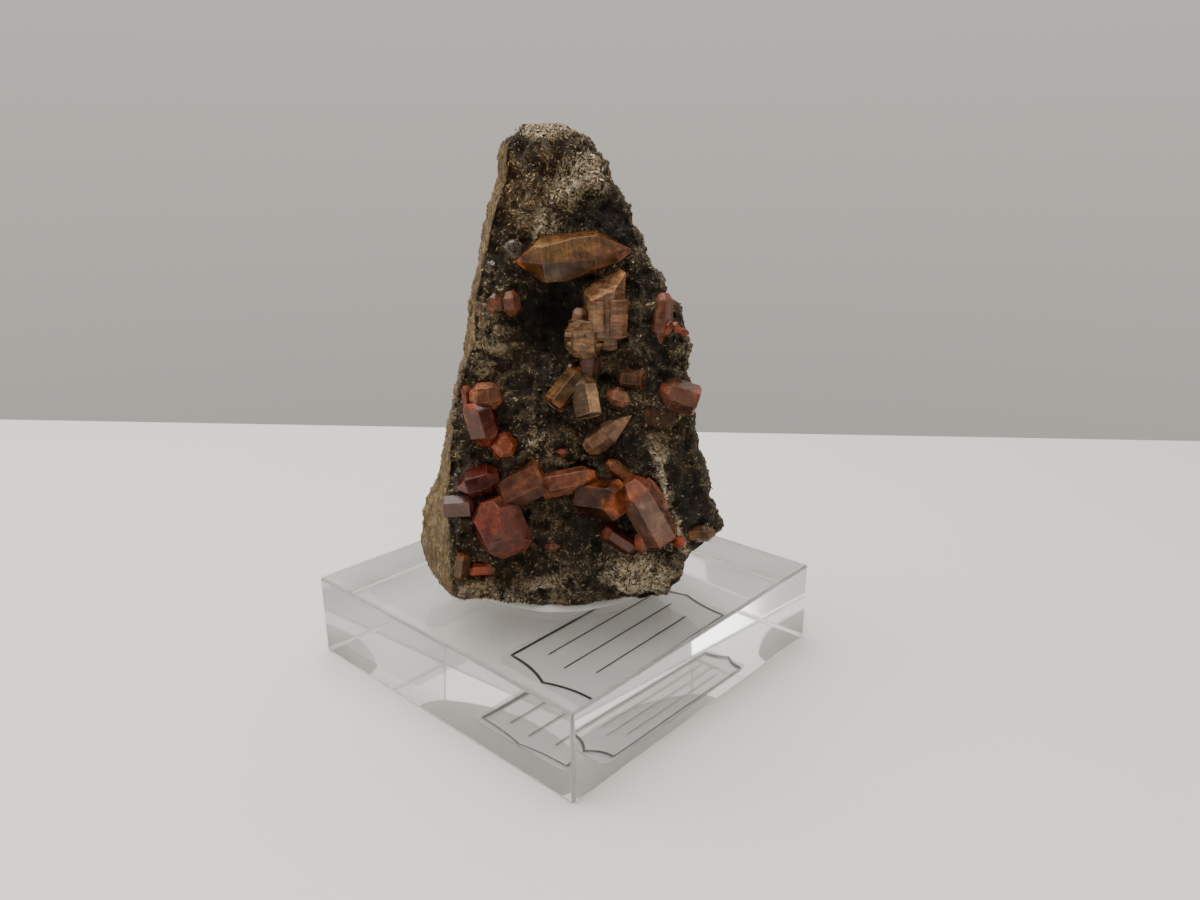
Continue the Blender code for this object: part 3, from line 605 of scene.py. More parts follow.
def make_fibres(p, nrm, area, speck, pale, black, tan, brown, hollow, count=24800):
    """Needles and blades lying in the rock's skin, lighter where it is speckled."""
    rng = np.random.default_rng(5)
    weight = area * (0.55 + 0.6 * speck) * (1 - 0.75 * tan) * (p[:, 2] > 1.3)
    pick = rng.choice(len(p), count, replace=False, p=weight / weight.sum())
    at, up = p[pick], nrm[pick]
    side = np.cross(up, (0.31, 0.2, 0.93))
    side /= np.linalg.norm(side, axis=1, keepdims=True)
    third = np.cross(up, side)
    turn = 3.2 * value_noise(at / 2.6, 141) + rng.normal(0, 0.8, count)
    lay = side * np.cos(turn)[:, None] + third * np.sin(turn)[:, None]
    rise = rng.normal(0.12, 0.22, count)[:, None]
    lay = lay * np.cos(rise) + up * np.sin(rise)
    wide = np.cross(lay, up)
    wide /= np.linalg.norm(wide, axis=1, keepdims=True)
    high = np.cross(wide, lay)
    L = rng.uniform(0.14, 0.38, count) * (1 + 0.30 * pale[pick])
    W = rng.uniform(0.046, 0.092, count) * (1 + 0.50 * pale[pick])
    H = W * rng.uniform(0.5, 1.1, count)
    mid = at + up * 0.03
    shift = rng.uniform(-0.3, 0.3, count) * L
    V = np.stack([mid + lay * L[:, None], mid - lay * L[:, None],
                  mid + lay * shift[:, None] + wide * W[:, None], mid + lay * shift[:, None] - wide * W[:, None],
                  mid + lay * shift[:, None] + high * H[:, None], mid + lay * shift[:, None] - high * H[:, None]], 1)
    V[:, :, 2] = np.clip(V[:, :, 2], ROCK_FOOT, ROCK_TOP)
    tris = np.array([(0, 2, 4), (2, 1, 4), (1, 3, 4), (3, 0, 4), (2, 0, 5), (1, 2, 5), (3, 1, 5), (0, 3, 5)])
    F = (tris[None] + 6 * np.arange(count)[:, None, None]).reshape(-1, 3)
    sp, pa, bl, br = speck[pick], pale[pick], black[pick], brown[pick]
    clump = value_noise(at / 1.5, 151) * 0.45 + value_noise(at / 0.5, 152) * 0.55
    part = np.clip(0.16 + 0.26 * clump + 0.48 * sp + 0.22 * br, 0.03, 0.68)
    t = np.where(rng.random(count) < part, rng.uniform(0.58, 1.0, count), rng.uniform(0.0, 0.42, count))
    step = np.array([0, 0.45, 0.72, 1.0])
    warm = np.array([(0.008, 0.006, 0.005), (0.036, 0.026, 0.014), (0.170, 0.112, 0.042), (0.33, 0.245, 0.125)])
    cold = np.array([(0.010, 0.008, 0.006), (0.085, 0.058, 0.030), (0.60, 0.47, 0.285), (0.90, 0.82, 0.67)])
    gold = np.array([(0.018, 0.010, 0.005), (0.085, 0.048, 0.017), (0.29, 0.165, 0.052), (0.50, 0.35, 0.17)])
    cw, cc, cg = (np.stack([np.interp(t, step, k[:, i]) for i in range(3)], 1) for k in (warm, cold, gold))
    w = np.clip(pa + rng.uniform(-0.12, 0.12, count), 0, 1)[:, None]
    g = np.clip(br + rng.uniform(-0.15, 0.15, count), 0, 1)[:, None]
    col = cw * (1 - g) + cg * g
    # fibres in hollows darkened, and fewer glints there: painted shade
    col = (col * (1 - w) + cc * w) * (1 - 0.80 * np.clip(bl, 0, 1)[:, None]) * (1 - 0.65 * hollow[pick])[:, None]
    glint = (rng.random(count) < 0.045 * (1 - 0.85 * np.clip(bl, 0, 1)) * (1 - tan[pick]) * (1 - 0.7 * hollow[pick]))[:, None]
    col = np.where(glint, np.array([(0.52, 0.38, 0.19)]) * rng.uniform(0.5, 1.3, count)[:, None], col)
    tn = tan[pick][:, None]
    col = col * (1 - tn) + np.array([(0.20, 0.14, 0.07)]) * (0.4 + 1.2 * t[:, None]) * tn
    ob = mesh_object("rock_fibres", to_row(V.reshape(-1, 3)), F, [fibre_material()], smooth=False)
    paint(ob, "tone", np.repeat(np.column_stack([col, np.ones(count)]), 6, 0))
    own(ob, "brown_rock")


make_fibres(*make_rock())

# =============================================================================
# crystals
# =============================================================================
# tones: linear colours of the body and of the ends
TONES = {
    "ochre": ((0.066, 0.030, 0.0068), (0.170, 0.058, 0.0185)),
    "brown": ((0.145, 0.056, 0.027), (0.195, 0.060, 0.021)),
    "hazel": ((0.092, 0.034, 0.016), (0.125, 0.039, 0.014)),
    "beige": ((0.140, 0.086, 0.038), (0.145, 0.078, 0.031)),
    "pink": ((0.080, 0.0155, 0.0095), (0.120, 0.030, 0.016)),
    "red": ((0.072, 0.016, 0.009), (0.170, 0.040, 0.014)),
    "dark": ((0.054, 0.0073, 0.0050), (0.100, 0.025, 0.011)),
    "orange": ((0.142, 0.030, 0.0105), (0.165, 0.041, 0.0135)),
    "greyed": ((0.088, 0.036, 0.022), (0.145, 0.038, 0.0135)),
    "ember": ((0.030, 0.0095, 0.0042), (0.215, 0.058, 0.0175)),
    "umber": ((0.034, 0.0125, 0.0055), (0.105, 0.031, 0.0105)),
    "plum": ((0.083, 0.036, 0.027), (0.070, 0.019, 0.014)),
    "clay": ((0.170, 0.092, 0.052), (0.185, 0.094, 0.048)),
    "olive": ((0.080, 0.044, 0.0155), (0.120, 0.043, 0.012)),
    "sepia": ((0.054, 0.031, 0.0156), (0.100, 0.040, 0.016)),
    "blush": ((0.190, 0.098, 0.055), (0.200, 0.066, 0.026)),
}
# x, z, lean, length, width, tilt, stand-out, turn, taper and end width at both ends,
# tone, seed, growth steps, hollow at the first end, planes cut off it (direction, distance)
CRYSTALS = {
    "crystal_large_horizontal": [
        (1.72, 46.25, 5.2, 14.3, 5.9, 0, 0.9, 8, 0.235, 0.03, 0.29, 0.03, "ochre", 3, 0.010, 0,
         [(0.34, -0.25, -0.90, 2.60), (-0.22, -0.30, 0.92, 2.80)])],
    "crystal_cluster_middle": [
        (5.6, 40.5, 88, 8.5, 4.8, 0, 0.7, 25, 0.05, 0.86, 0.02, 0.98, "clay", 5, 0.016, 0,
         [(-0.42, -0.42, 0.80, 2.15)]),
        (6.95, 38.75, 88, 4.7, 2.5, 0, 2.2, 26, 0.04, 0.92, 0.03, 0.95, "clay", 9, 0.016, 0, []),
        (4.6, 39.0, 90, 3.6, 2.0, 0, 3.1, 10, 0.05, 0.90, 0.05, 0.88, "clay", 11, 0.02, 0, []),
        (2.5, 39.0, 84, 2.1, 1.9, 0, 2.6, 12, 0.26, 0.62, 0.30, 0.55, "clay", 12, 0.02, 0, []),
        (2.9, 38.15, 88, 1.4, 4.1, 0, 1.9, 3, 0.10, 0.94, 0.30, 0.80, "olive", 14, 0.02, 0, [(-0.55, -0.1, 0.83, 1.15)]),
        (2.95, 36.35, 90, 4.8, 4.35, 0, 1.6, 0, 0.26, 0.66, 0.05, 0.94, "beige", 7, 0.02, 0,
         [(-0.45, -0.45, -0.77, 2.35), (0.30, -0.50, -0.81, 2.45), (-0.6, -0.1, 0.79, 2.15)]),
        (2.95, 37.0, 91, 0.55, 4.75, 0, 1.65, 1, 0.2, 0.96, 0.2, 0.96, "beige", 8, 0.0, 0, []),
        (3.0, 35.75, 89, 0.5, 4.6, 0, 1.6, 2, 0.2, 0.96, 0.2, 0.96, "beige", 16, 0.0, 0, []),
        (6.15, 35.75, 88, 1.7, 1.9, 0, 1.9, 14, 0.10, 0.84, 0.08, 0.85, "beige", 13, 0.03, 0, []),
        (5.6, 37.0, 88, 2.6, 1.0, 0, 1.7, 20, 0.08, 0.85, 0.08, 0.85, "umber", 20, 0.02, 0, []),
        (3.6, 33.0, 84, 2.7, 2.5, 0, 0.5, 20, 0.06, 0.88, 0.06, 0.88, "plum", 15, 0.01, 0, []),
        (0.85, 30.2, 48, 6.0, 3.0, -24, 1.3, 5, 0.05, 0.86, 0.22, 0.30, "olive", 17, 0.012, 0.95, []),
        (3.15, 29.1, 101, 5.2, 3.5, -26, 1.6, 8, 0.03, 0.96, 0.24, 0.40, "beige", 19, 0.008, 0.6, []),
        (1.3, 32.5, 80, 1.4, 1.1, 0, 1.0, 0, 0.25, 0.5, 0.25, 0.5, "plum", 21, 0.0, 0, [])],
    "crystal_pair_upper_left": [
        (-7.95, 40.6, 80, 2.6, 2.1, 0, 0.5, 0, 0.28, 0.4, 0.28, 0.45, "hazel", 23, 0.0, 0, []),
        (-6.05, 40.6, 97, 3.1, 2.5, 0, 0.7, 20, 0.28, 0.40, 0.25, 0.5, "hazel", 25, 0.0, 0, [])],
    "crystal_oval_red": [(7.3, 29.0, -16, 3.3, 2.3, 0, 0.5, 10, 0.30, 0.35, 0.26, 0.5, "blush", 27, 0.0, 0, [])],
    "crystal_short_brown": [(9.0, 31.2, -3, 2.8, 2.4, 18, 0.5, 20, 0.05, 0.9, 0.03, 0.94, "sepia", 29, 0.01, 0, [])],
    "crystal_spear_red": [(6.0, 24.5, 38, 7.4, 3.0, 4, 0.8, 10, 0.16, 0.5, 0.50, 0.05, "clay", 31, 0.006, 0, [])],
    "crystal_cluster_right_edge": [
        (14.8, 29.1, -18, 5.0, 3.9, 6, 0.9, 14, 0.30, 0.3, 0.08, 0.84, "greyed", 33, 0.008, 0, []),
        (12.4, 26.7, -4, 3.9, 3.1, 0, 0.1, 0, 0.28, 0.4, 0.28, 0.45, "umber", 35, 0.02, 0,
         [(0.0, -0.95, 0.3, 0.45)]),
        (14.6, 31.6, 90, 1.8, 1.1, 0, 0.3, 0, 0.25, 0.5, 0.25, 0.5, "umber", 37, 0.0, 0, [])],
    "crystal_sliver_orange": [(0.1, 21.9, 2, 1.6, 0.9, 0, 0.3, 0, 0.3, 0.3, 0.3, 0.3, "orange", 39, 0.0, 0, [])],
    "crystal_cluster_right_upper": [
        (12.7, 38.7, 87, 6.3, 2.3, -4, 0.7, 24, 0.26, 0.12, 0.16, 0.45, "greyed", 41, 0.008, 0, []),
        (13.3, 37.5, 64, 2.0, 1.3, 10, 1.4, 0, 0.28, 0.4, 0.28, 0.4, "orange", 43, 0.0, 0, []),
        (14.4, 37.6, -50, 1.5, 1.0, 0, 0.8, 0, 0.2, 0.6, 0.2, 0.6, "orange", 45, 0.0, 0, []),
        (15.3, 37.1, -26, 1.5, 0.8, 0, 0.3, 0, 0.3, 0.3, 0.3, 0.3, "orange", 47, 0.0, 0, [])],
    "crystal_cluster_left": [
        (-9.5, 29.2, 5, 4.0, 3.2, 6, 0.9, 15, 0.26, 0.50, 0.28, 0.5, "brown", 49, 0.006, 0, []),
        (-9.9, 25.7, 104, 5.9, 4.0, -4, 0.9, 12, 0.26, 0.36, 0.14, 0.7, "red", 51, 0.004, 0, []),
        (-11.7, 28.2, 94, 4.6, 1.6, 0, 0.5, 0, 0.15, 0.5, 0.15, 0.5, "orange", 53, 0.0, 0, []),
        (-7.5, 22.65, 60, 3.4, 3.2, 60, 1.0, 0, 0.1, 0.8, 0.20, 0.56, "orange", 55, 0.0, 0, [])],
    "crystal_dark_double": [
        (-10.8, 18.0, 17, 5.8, 3.7, 0, 0.8, 20, 0.28, 0.20, 0.20, 0.50, "dark", 57, 0.0, 0, [])],
    "crystal_left_prism": [
        (-13.3, 14.7, 3, 4.0, 3.0, 0, 0.5, 30, 0.05, 0.9, 0.16, 0.5, "plum", 59, 0.006, 0, [])],
    "crystal_cluster_lower": [
        (-7.95, 12.0, -72, 8.0, 6.3, 5, 1.7, 18, 0.26, 0.46, 0.20, 0.52, "pink", 61, 0.008, 0,
         [(0.62, -0.66, 0.42, 2.70), (-0.5, -0.80, 0.33, 2.75), (0.35, -0.80, -0.55, 2.95)]),
        (-5.0, 17.4, 28, 6.4, 4.4, 3, 0.9, 4, 0.14, 0.60, 0.06, 0.86, "hazel", 63, 0.006, 0, []),
        (0.8, 18.1, 14, 7.4, 3.2, 8, 0.9, 12, 0.04, 0.92, 0.18, 0.45, "brown", 65, 0.006, 0, []),
        (4.4, 15.9, 8, 7.8, 5.2, 36, 1.4, 8, 0.24, 0.46, 0.12, 0.70, "ember", 67, 0.006, 0, []),
        (7.3, 19.3, -41, 4.3, 2.0, 0, 0.5, 10, 0.18, 0.5, 0.10, 0.7, "brown", 69, 0.0, 0, []),
        (10.8, 14.3, -62, 9.4, 4.7, -4, 1.5, 22, 0.18, 0.45, 0.04, 0.92, "greyed", 71, 0.004, 0, []),
        (12.3, 16.4, -58, 4.8, 1.1, 0, 1.2, 0, 0.2, 0.5, 0.2, 0.5, "brown", 73, 0.0, 0, []),
        (7.4, 10.3, -36, 5.1, 2.3, 0, 0.8, 20, 0.16, 0.5, 0.12, 0.6, "red", 75, 0.004, 0, []),
        (10.1, 9.9, 93, 2.9, 1.8, 6, 0.9, 0, 0.2, 0.5, 0.2, 0.6, "orange", 77, 0.0, 0, [])],
    "crystal_bead_orange": [
        (15.15, 9.9, -3, 1.7, 1.6, 30, 0.5, 0, 0.26, 0.5, 0.26, 0.5, "orange", 79, 0.0, 0, [])],
    "crystal_right_foot": [
        (17.9, 11.0, 3, 3.9, 2.1, 0, 0.6, 18, 0.12, 0.6, 0.26, 0.3, "olive", 81, 0.01, 0, [])],
    "crystal_pair_bottom_left": [
        (-13.3, 6.8, 81, 3.3, 2.3, 0, 0.6, 10, 0.12, 0.7, 0.12, 0.75, "ochre", 83, 0.01, 0, []),
        (-10.8, 6.2, 2, 3.7, 1.8, 0, 0.5, 20, 0.2, 0.4, 0.24, 0.35, "orange", 85, 0.0, 0, [])],
    "crystal_small_oval": [(-1.35, 9.3, 4, 2.0, 1.1, 0, 0.3, 0, 0.3, 0.3, 0.3, 0.3, "brown", 87, 0.0, 0, [])],
}
# marks on single crystals: x, z, radii, colour, strength; the near-black marks at 2.1, 27.3 and 0.35, 28.4 are painted
# shade in hollow ends
MARKS = [(-0.6, 44.6, 1.0, 0.8, (0.30, 0.25, 0.19), 0.55), (-1.5, 45.5, 0.5, 0.4, (0.07, 0.030, 0.045), 0.8),
         (5.2, 46.6, 0.7, 0.5, (0.10, 0.045, 0.040), 0.6), (8.0, 46.2, 1.1, 0.9, (0.17, 0.085, 0.060), 0.8),
         (-4.8, 45.3, 0.8, 0.7, (0.24, 0.075, 0.024), 0.7), (-2.0, 47.6, 1.8, 0.8, (0.20, 0.120, 0.040), 0.6),
         (2.6, 47.9, 2.6, 0.9, (0.170, 0.090, 0.022), 0.55), (0.2, 46.9, 2.2, 0.8, (0.105, 0.060, 0.012), 0.55),
         (1.5, 45.9, 0.11, 1.1, (0.035, 0.016, 0.012), 0.7), (10.5, 16.3, 0.75, 0.17, (0.50, 0.42, 0.35), 0.7),
         (4.5, 44.4, 2.6, 1.0, (0.095, 0.036, 0.014), 0.6),
         (8.9, 17.6, 1.0, 1.4, (0.23, 0.062, 0.018), 0.8), (6.9, 16.2, 1.2, 1.7, (0.22, 0.052, 0.016), 0.75),
         (3.9, 19.2, 0.8, 0.9, (0.27, 0.075, 0.020), 0.7), (-10.2, 9.6, 0.8, 0.8, (0.13, 0.075, 0.022), 0.6),
         (0.0, 28.9, 0.8, 0.5, (0.26, 0.10, 0.016), 0.7), (-12.2, 26.4, 0.3, 1.0, (0.36, 0.16, 0.04), 0.7),
         (12.2, 14.0, 1.4, 2.4, (0.19, 0.115, 0.085), 0.5), (2.1, 27.3, 0.60, 0.45, (0.012, 0.007, 0.005), 0.95),
         (4.3, 26.9, 0.9, 0.35, (0.33, 0.17, 0.05), 0.8), (0.35, 28.4, 0.50, 0.35, (0.016, 0.009, 0.006), 0.85)]


def crystal_material():
    m = Nodes("crystal")
    body = m.attr("tone", "Color")
    end = m.attr("tone_end", "Color")
    tip, edge, facet_tone_and_light, painted_sheen, rib = (m.attr(k) for k in ("tip", "edge", "facet_tone_and_light", "painted_sheen", "rib"))
    loc = m.attr("loc", "Vector")
    long_ = m.noise(m.scale(loc, (1.5, 1.5, 0.30)), 1.0, 2.5, 0.55)
    cross = m.noise(m.scale(loc, (0.35, 0.35, 3.0)), 1.0, 3.0, 0.55)
    cloud = m.noise(loc, 0.50, 3.0, 0.6, 0.4)
    fine = m.noise(loc, 4.5, 3.0, 0.6)
    f = m.smooth(m.math("ADD", tip, m.math("MULTIPLY", m.math("ADD", cloud, -0.5), 1.7)), 0.35, 1.0)
    col = m.mix(m.math("MULTIPLY", f, 0.85), body, end)
    dark = m.ramp(long_, [(0.34, (0.55, 0.47, 0.47)), (0.50, (1.0, 1.0, 1.0)), (0.68, (1.35, 1.38, 1.40))])
    col = m.mix(0.55, col, dark, "MULTIPLY")
    band = m.ramp(cross, [(0.38, (0.36, 0.29, 0.25)), (0.5, (1.0, 1.0, 1.0)), (0.64, (1.42, 1.42, 1.32))])
    col = m.mix(m.math("MULTIPLY_ADD", rib, 1.1, 0.12, clamp=True), col, band, "MULTIPLY")
    lump = m.ramp(cloud, [(0.38, (0.50, 0.40, 0.40)), (0.50, (1.0, 1.0, 1.0)), (0.62, (1.45, 1.25, 1.10))])
    col = m.mix(0.70, col, lump, "MULTIPLY")
    inside = m.noise(loc, 1.2, 3.0, 0.6, 1.2)
    flaw = m.ramp(inside, [(0.40, (0.62, 0.52, 0.50)), (0.50, (1.0, 1.0, 1.0)), (0.60, (1.34, 1.32, 1.28))])
    col = m.mix(0.62, col, flaw, "MULTIPLY")
    # each face's tone multiplies the colour: random, and partly painted light
    grey = m.new("ShaderNodeCombineColor")
    for k in range(3):
        m.put(grey.inputs[k], facet_tone_and_light)
    col = m.mix(1.0, col, grey.outputs[0], "MULTIPLY")
    # painted sheen: a pale reflection colour mixed in by each face's sheen amount and by noise wisps
    wisp = m.math("MULTIPLY", m.smooth(m.noise(loc, 0.9, 4.0, 0.65), 0.54, 0.72), 0.07)
    col = m.mix(m.math("ADD", m.math("MULTIPLY", painted_sheen, 0.42), wisp, clamp=True), col, (0.20, 0.125, 0.090, 1))
    # lightened edges where the inner cloud is bright: painted edge highlight
    lit = m.math("MULTIPLY", edge, m.smooth(cloud, 0.40, 0.60))
    rim_highlight = m.mix(1.0, m.mix(0.5, body, end), (1.8, 2.0, 2.1, 1), "MULTIPLY")
    col = m.mix(m.math("MULTIPLY", lit, 0.14), col, rim_highlight)
    m.put(m.bsdf.inputs["Base Color"], col)
    m.put(m.bsdf.inputs["Roughness"], m.math("MAXIMUM", m.ramp(cloud, [(0.35, (0.14,) * 3), (0.65, (0.30,) * 3)]), m.math("MULTIPLY", edge, 0.50)))
    m.bsdf.inputs["IOR"].default_value = 1.5
    m.bsdf.inputs["Specular IOR Level"].default_value = 0.36
    m.bsdf.inputs["Subsurface Weight"].default_value = 0.30
    m.bsdf.inputs["Subsurface Radius"].default_value = (1.0, 0.30, 0.10)
    m.bsdf.inputs["Subsurface Scale"].default_value = 0.0007
    h = m.math("MULTIPLY", cross, m.math("MULTIPLY_ADD", rib, 1.6, 0.22))
    h = m.math("ADD", h, m.math("MULTIPLY", fine, 0.12))
    h = m.math("ADD", h, m.math("MULTIPLY", long_, 0.30))
    m.put(m.bsdf.inputs["Normal"], m.bump(h, 0.30, 0.00020))
    return m.mat


CRYSTAL_MAT = crystal_material()


# single faces of chosen crystals by seed: the way they face, tone, painted sheen; the tones are partly painted light,
# most faces turned down being darker
FACETS = {
    19: [((0.5, -0.77, 0.38), 2.5, 0.35), ((-0.5, -0.77, 0.38), 0.42, 0.0)],
    17: [((-0.5, -0.7, 0.5), 1.25, 0.1), ((0.4, -0.8, -0.4), 0.75, 0.0)],
    71: [((0.35, -0.90, 0.15), 1.15, 0.70), ((-0.55, -0.75, -0.35), 0.80, 0.15), ((0.7, -0.3, 0.5), 0.8, 0.1)],
    75: [((0.2, -0.95, 0.2), 1.2, 0.45), ((0.4, -0.6, 0.7), 0.8, 0.1), ((-0.3, -0.7, -0.6), 0.7, 0.0)],
    59: [((0, -1, 0), 1.1, 0.55), ((0, -0.6, 0.8), 0.8, 0.10), ((0, -0.6, -0.8), 0.7, 0.1)],
    63: [((-0.1, -0.9, 0.4), 1.15, 0.25), ((0.35, -0.9, -0.5), 0.8, 0.12), ((-0.35, -0.6, 0.7), 0.85, 0.0)],
    33: [((-0.1, -0.95, 0.3), 1.1, 0.35), ((0, -0.6, -0.8), 0.75, 0.1)],
    31: [((-0.4, -0.8, 0.45), 1.15, 0.35), ((0.3, -0.85, -0.45), 0.75, 0.1)],
    3: [((0, -0.8, 0.55), 1.15, 0.0), ((0, -0.9, -0.45), 0.70, 0.0), ((0, -0.3, 0.95), 1.45, 0.10)],
    51: [((-0.6, -0.75, 0), 0.85, 0.25), ((0.2, -0.95, 0), 0.9, 0.0), ((0.8, -0.5, 0), 0.8, 0.0)],
    67: [((0.3, -0.9, 0.3), 0.85, 0.0), ((0.3, -0.9, -0.4), 0.75, 0.0), ((0, -0.3, 0.9), 0.9, 0.0)],
    5: [((0, -1, 0), 1.0, 0.10), ((0.6, -0.8, 0), 0.9, 0.0), ((-0.6, -0.8, 0), 1.0, 0.05)],
}


def solid_faces(normals, reach):
    """Corner loops of the solid bounded by the planes n.x <= d."""
    pick = np.array(list(itertools.combinations(range(len(reach)), 3)))
    A = normals[pick]
    ok = np.abs(np.linalg.det(A)) > 1e-3
    X = np.linalg.solve(A[ok], reach[pick[ok]][:, :, None])[:, :, 0]
    X = X[np.all(X @ normals.T <= reach + 1e-5, axis=1)]
    X = X[np.unique(np.round(X, 3), axis=0, return_index=True)[1]]
    out = []
    for i, n in enumerate(normals):
        on = X[np.abs(X @ n - reach[i]) < 2e-3]
        if len(on) < 3:
            continue
        c = on.mean(0)
        e = on[0] - c
        e /= np.linalg.norm(e) + 1e-9
        f = np.cross(n, e)
        on = on[np.argsort(np.arctan2((on - c) @ f, (on - c) @ e))]
        area = 0.5 * np.linalg.norm(np.cross(on - c, np.roll(on, -1, 0) - c).sum(0))
        if area > 4e-3:
            out.append((i, on))
    return out


RINGS = (0.0, 0.10, 0.26, 0.46, 0.68, 0.86)


def crystal_mesh(row):
    """Points, faces and paint of one crystal: six prism faces, six tapering
    faces at each end, two end caps, every edge narrowly chamfered."""
    x, z, lean, length, width, tilt, out, turn, ha, ra, hb, rb, tone, seed, steps, hollow, cuts = row
    rng = np.random.default_rng(seed)
    R = width / 1.87
    inner = R * 0.866 * (1 + rng.uniform(-0.10, 0.10, 6))
    phi = np.radians(60 * np.arange(6) + 30 + rng.uniform(-2, 2, 6))
    half = length / 2
    zA = -half + ha * length * (1 + rng.uniform(-0.22, 0.22, 6) * (1.0 if ra > 0.2 else 0.35))
    zB = half - hb * length * (1 + rng.uniform(-0.22, 0.22, 6) * (1.0 if rb > 0.2 else 0.35))
    a, t = math.radians(lean), math.radians(tilt)
    axis = Vector((math.cos(a) * math.cos(t), -math.sin(t), math.sin(a) * math.cos(t)))
    rot = np.array((axis.to_track_quat("Z", "Y").to_matrix() @ Matrix.Rotation(math.radians(turn), 3, "Z")))
    planes = []
    for k in range(6):
        mA = inner[k] * (1 - ra) / (ha * length)
        mB = inner[k] * (1 - rb) / (hb * length)
        cx, sy = math.cos(phi[k]), math.sin(phi[k])
        planes += [(cx, sy, 0.0, inner[k]), (cx, sy, -mA, inner[k] - mA * zA[k]), (cx, sy, mB, inner[k] + mB * zB[k])]
    planes += [(0.0, 0.0, -1.0, half), (0.0, 0.0, 1.0, half)]
    for nx, ny, nz_, reach in cuts:
        nv = np.array([nx, ny, nz_]) / math.sqrt(nx * nx + ny * ny + nz_ * nz_)
        planes.append((*(rot.T @ nv), reach))
    planes = np.array(planes)
    planes /= np.linalg.norm(planes[:, :3], axis=1, keepdims=True)
    loops = solid_faces(planes[:, :3], planes[:, 3])
    # tone of the single faces, random and partly painted light, and their painted sheen; the middle slab's cut face
    # (seed 5) is lightened, a golden band with painted top light
    shade = np.concatenate([rng.uniform(0.72, 1.28, 18), [1.0, 1.0], rng.uniform(0.95, 1.35, len(cuts)) * (2.1 if seed == 5 else 1.0)])
    sheen = np.concatenate([np.clip(rng.uniform(-0.40, 0.30, 18), 0, 1), [0.0, 0.0], rng.uniform(0.0, 0.25, len(cuts))])
    ways = planes[0:18:3, :3] @ rot.T
    for d, value, soft in FACETS.get(seed, ()):
        k = int(np.argmax(ways @ np.array(d)))
        shade[3 * k], sheen[3 * k] = value, soft
    # the large crystal's tapering end faces: no painted sheen, and a slightly lighter tone
    if seed == 3:
        for k in range(6):
            sheen[3 * k + 1] = sheen[3 * k + 2] = 0.0
            shade[3 * k + 1] = 1.1 + 0.15 * math.sin(2.1 * k)
    step = 0.30 if length > 5 else 0.24
    chamfer = min(0.070, 0.046 * R)
    pts, depth, turn_n, polys, tone_f, sheen_f = [], [], [], [], [], []
    base = 0
    for label, on in loops:
        n = planes[label, :3]
        c = on.mean(0)
        nxt = np.roll(on, -1, 0)
        side = nxt - on
        size = np.linalg.norm(side, axis=1)
        inward = np.cross(n, side / size[:, None])
        room = np.min(np.sum((c - on) * inward, axis=1))
        w = min(chamfer, 0.35 * room)
        # corners moved in by w from both sides
        before, after = np.roll(inward, 1, 0), inward
        bis = before + after
        corner = on + bis * (w / np.clip(1 + np.sum(before * after, axis=1), 0.25, None))[:, None]
        outer, ring1 = [], []
        for i in range(len(on)):
            m = max(1, int(math.ceil(size[i] / step)))
            f = (np.arange(m) / m)[:, None]
            outer.append(on[i] + (nxt[i] - on[i]) * f)
            ring1.append(corner[i] + (np.roll(corner, -1, 0)[i] - corner[i]) * f)
        outer, ring1 = np.concatenate(outer), np.concatenate(ring1)
        K = len(outer)
        rings = [outer] + [ring1 + (c - ring1) * k for k in RINGS] + [c[None]]
        d = [np.full(K, -1.0)] + [np.full(K, k) for k in RINGS] + [np.array([1.0])]
        pts += rings
        depth += d
        turn_n.append(np.tile(n, (K * (len(RINGS) + 1) + 1, 1)))
        j = np.arange(K)
        j1 = (j + 1) % K
        for k in range(len(RINGS)):
            lo, hi = base + k * K, base + (k + 1) * K
            polys += np.stack([lo + j, lo + j1, hi + j1, hi + j], 1).tolist()
            # the faces inside a hollow end are darkened, here and in the centre fan below: painted shade
            tone_f += [shade[label] * (0.12 if hollow and label == 18 and k > 1 else 1.0)] * K
            sheen_f += [sheen[label]] * K
        lo = base + len(RINGS) * K
        polys += [[lo + i, lo + (i + 1) % K, lo + K] for i in range(K)]
        tone_f += [shade[label] * (0.12 if hollow and label == 18 else 1.0)] * K
        sheen_f += [sheen[label]] * K
        if hollow and label == 18:
            for ring, k in zip(rings, d):
                ring[:, 2] += hollow * R * np.clip((k - 0.08) / 0.22, 0, 1)
        base += K * (len(RINGS) + 1) + 1
    pts, depth, turn_n = np.concatenate(pts), np.concatenate(depth), np.concatenate(turn_n)
    # weld the shared edges
    _, first, back = np.unique(np.round(pts, 3), axis=0, return_index=True, return_inverse=True)
    back = back.ravel()
    total = np.zeros((len(first), 3))
    np.add.at(total, back, turn_n)
    many = np.bincount(back, minlength=len(first))[:, None]
    total = total / many
    flat, depth = pts[first], depth[first]
    bend = np.linalg.norm(total, axis=1)
    on_edge = depth < 0
    drop = np.where(on_edge, 0.9 * chamfer * np.sqrt(np.clip(1 - bend ** 2, 0, 1)), 0.0)
    flat = flat - total / (bend[:, None] + 1e-9) * drop[:, None]
    fine_faces, keep = [], []
    for i, q in enumerate(polys):
        q = [int(back[v]) for v in q]
        q = [v for k, v in enumerate(q) if v != q[k - 1]]
        if len(set(q)) == len(q) and len(q) > 2:
            fine_faces.append(q)
            keep.append(i)
    tone_f, sheen_f = np.array(tone_f)[keep], np.array(sheen_f)[keep]
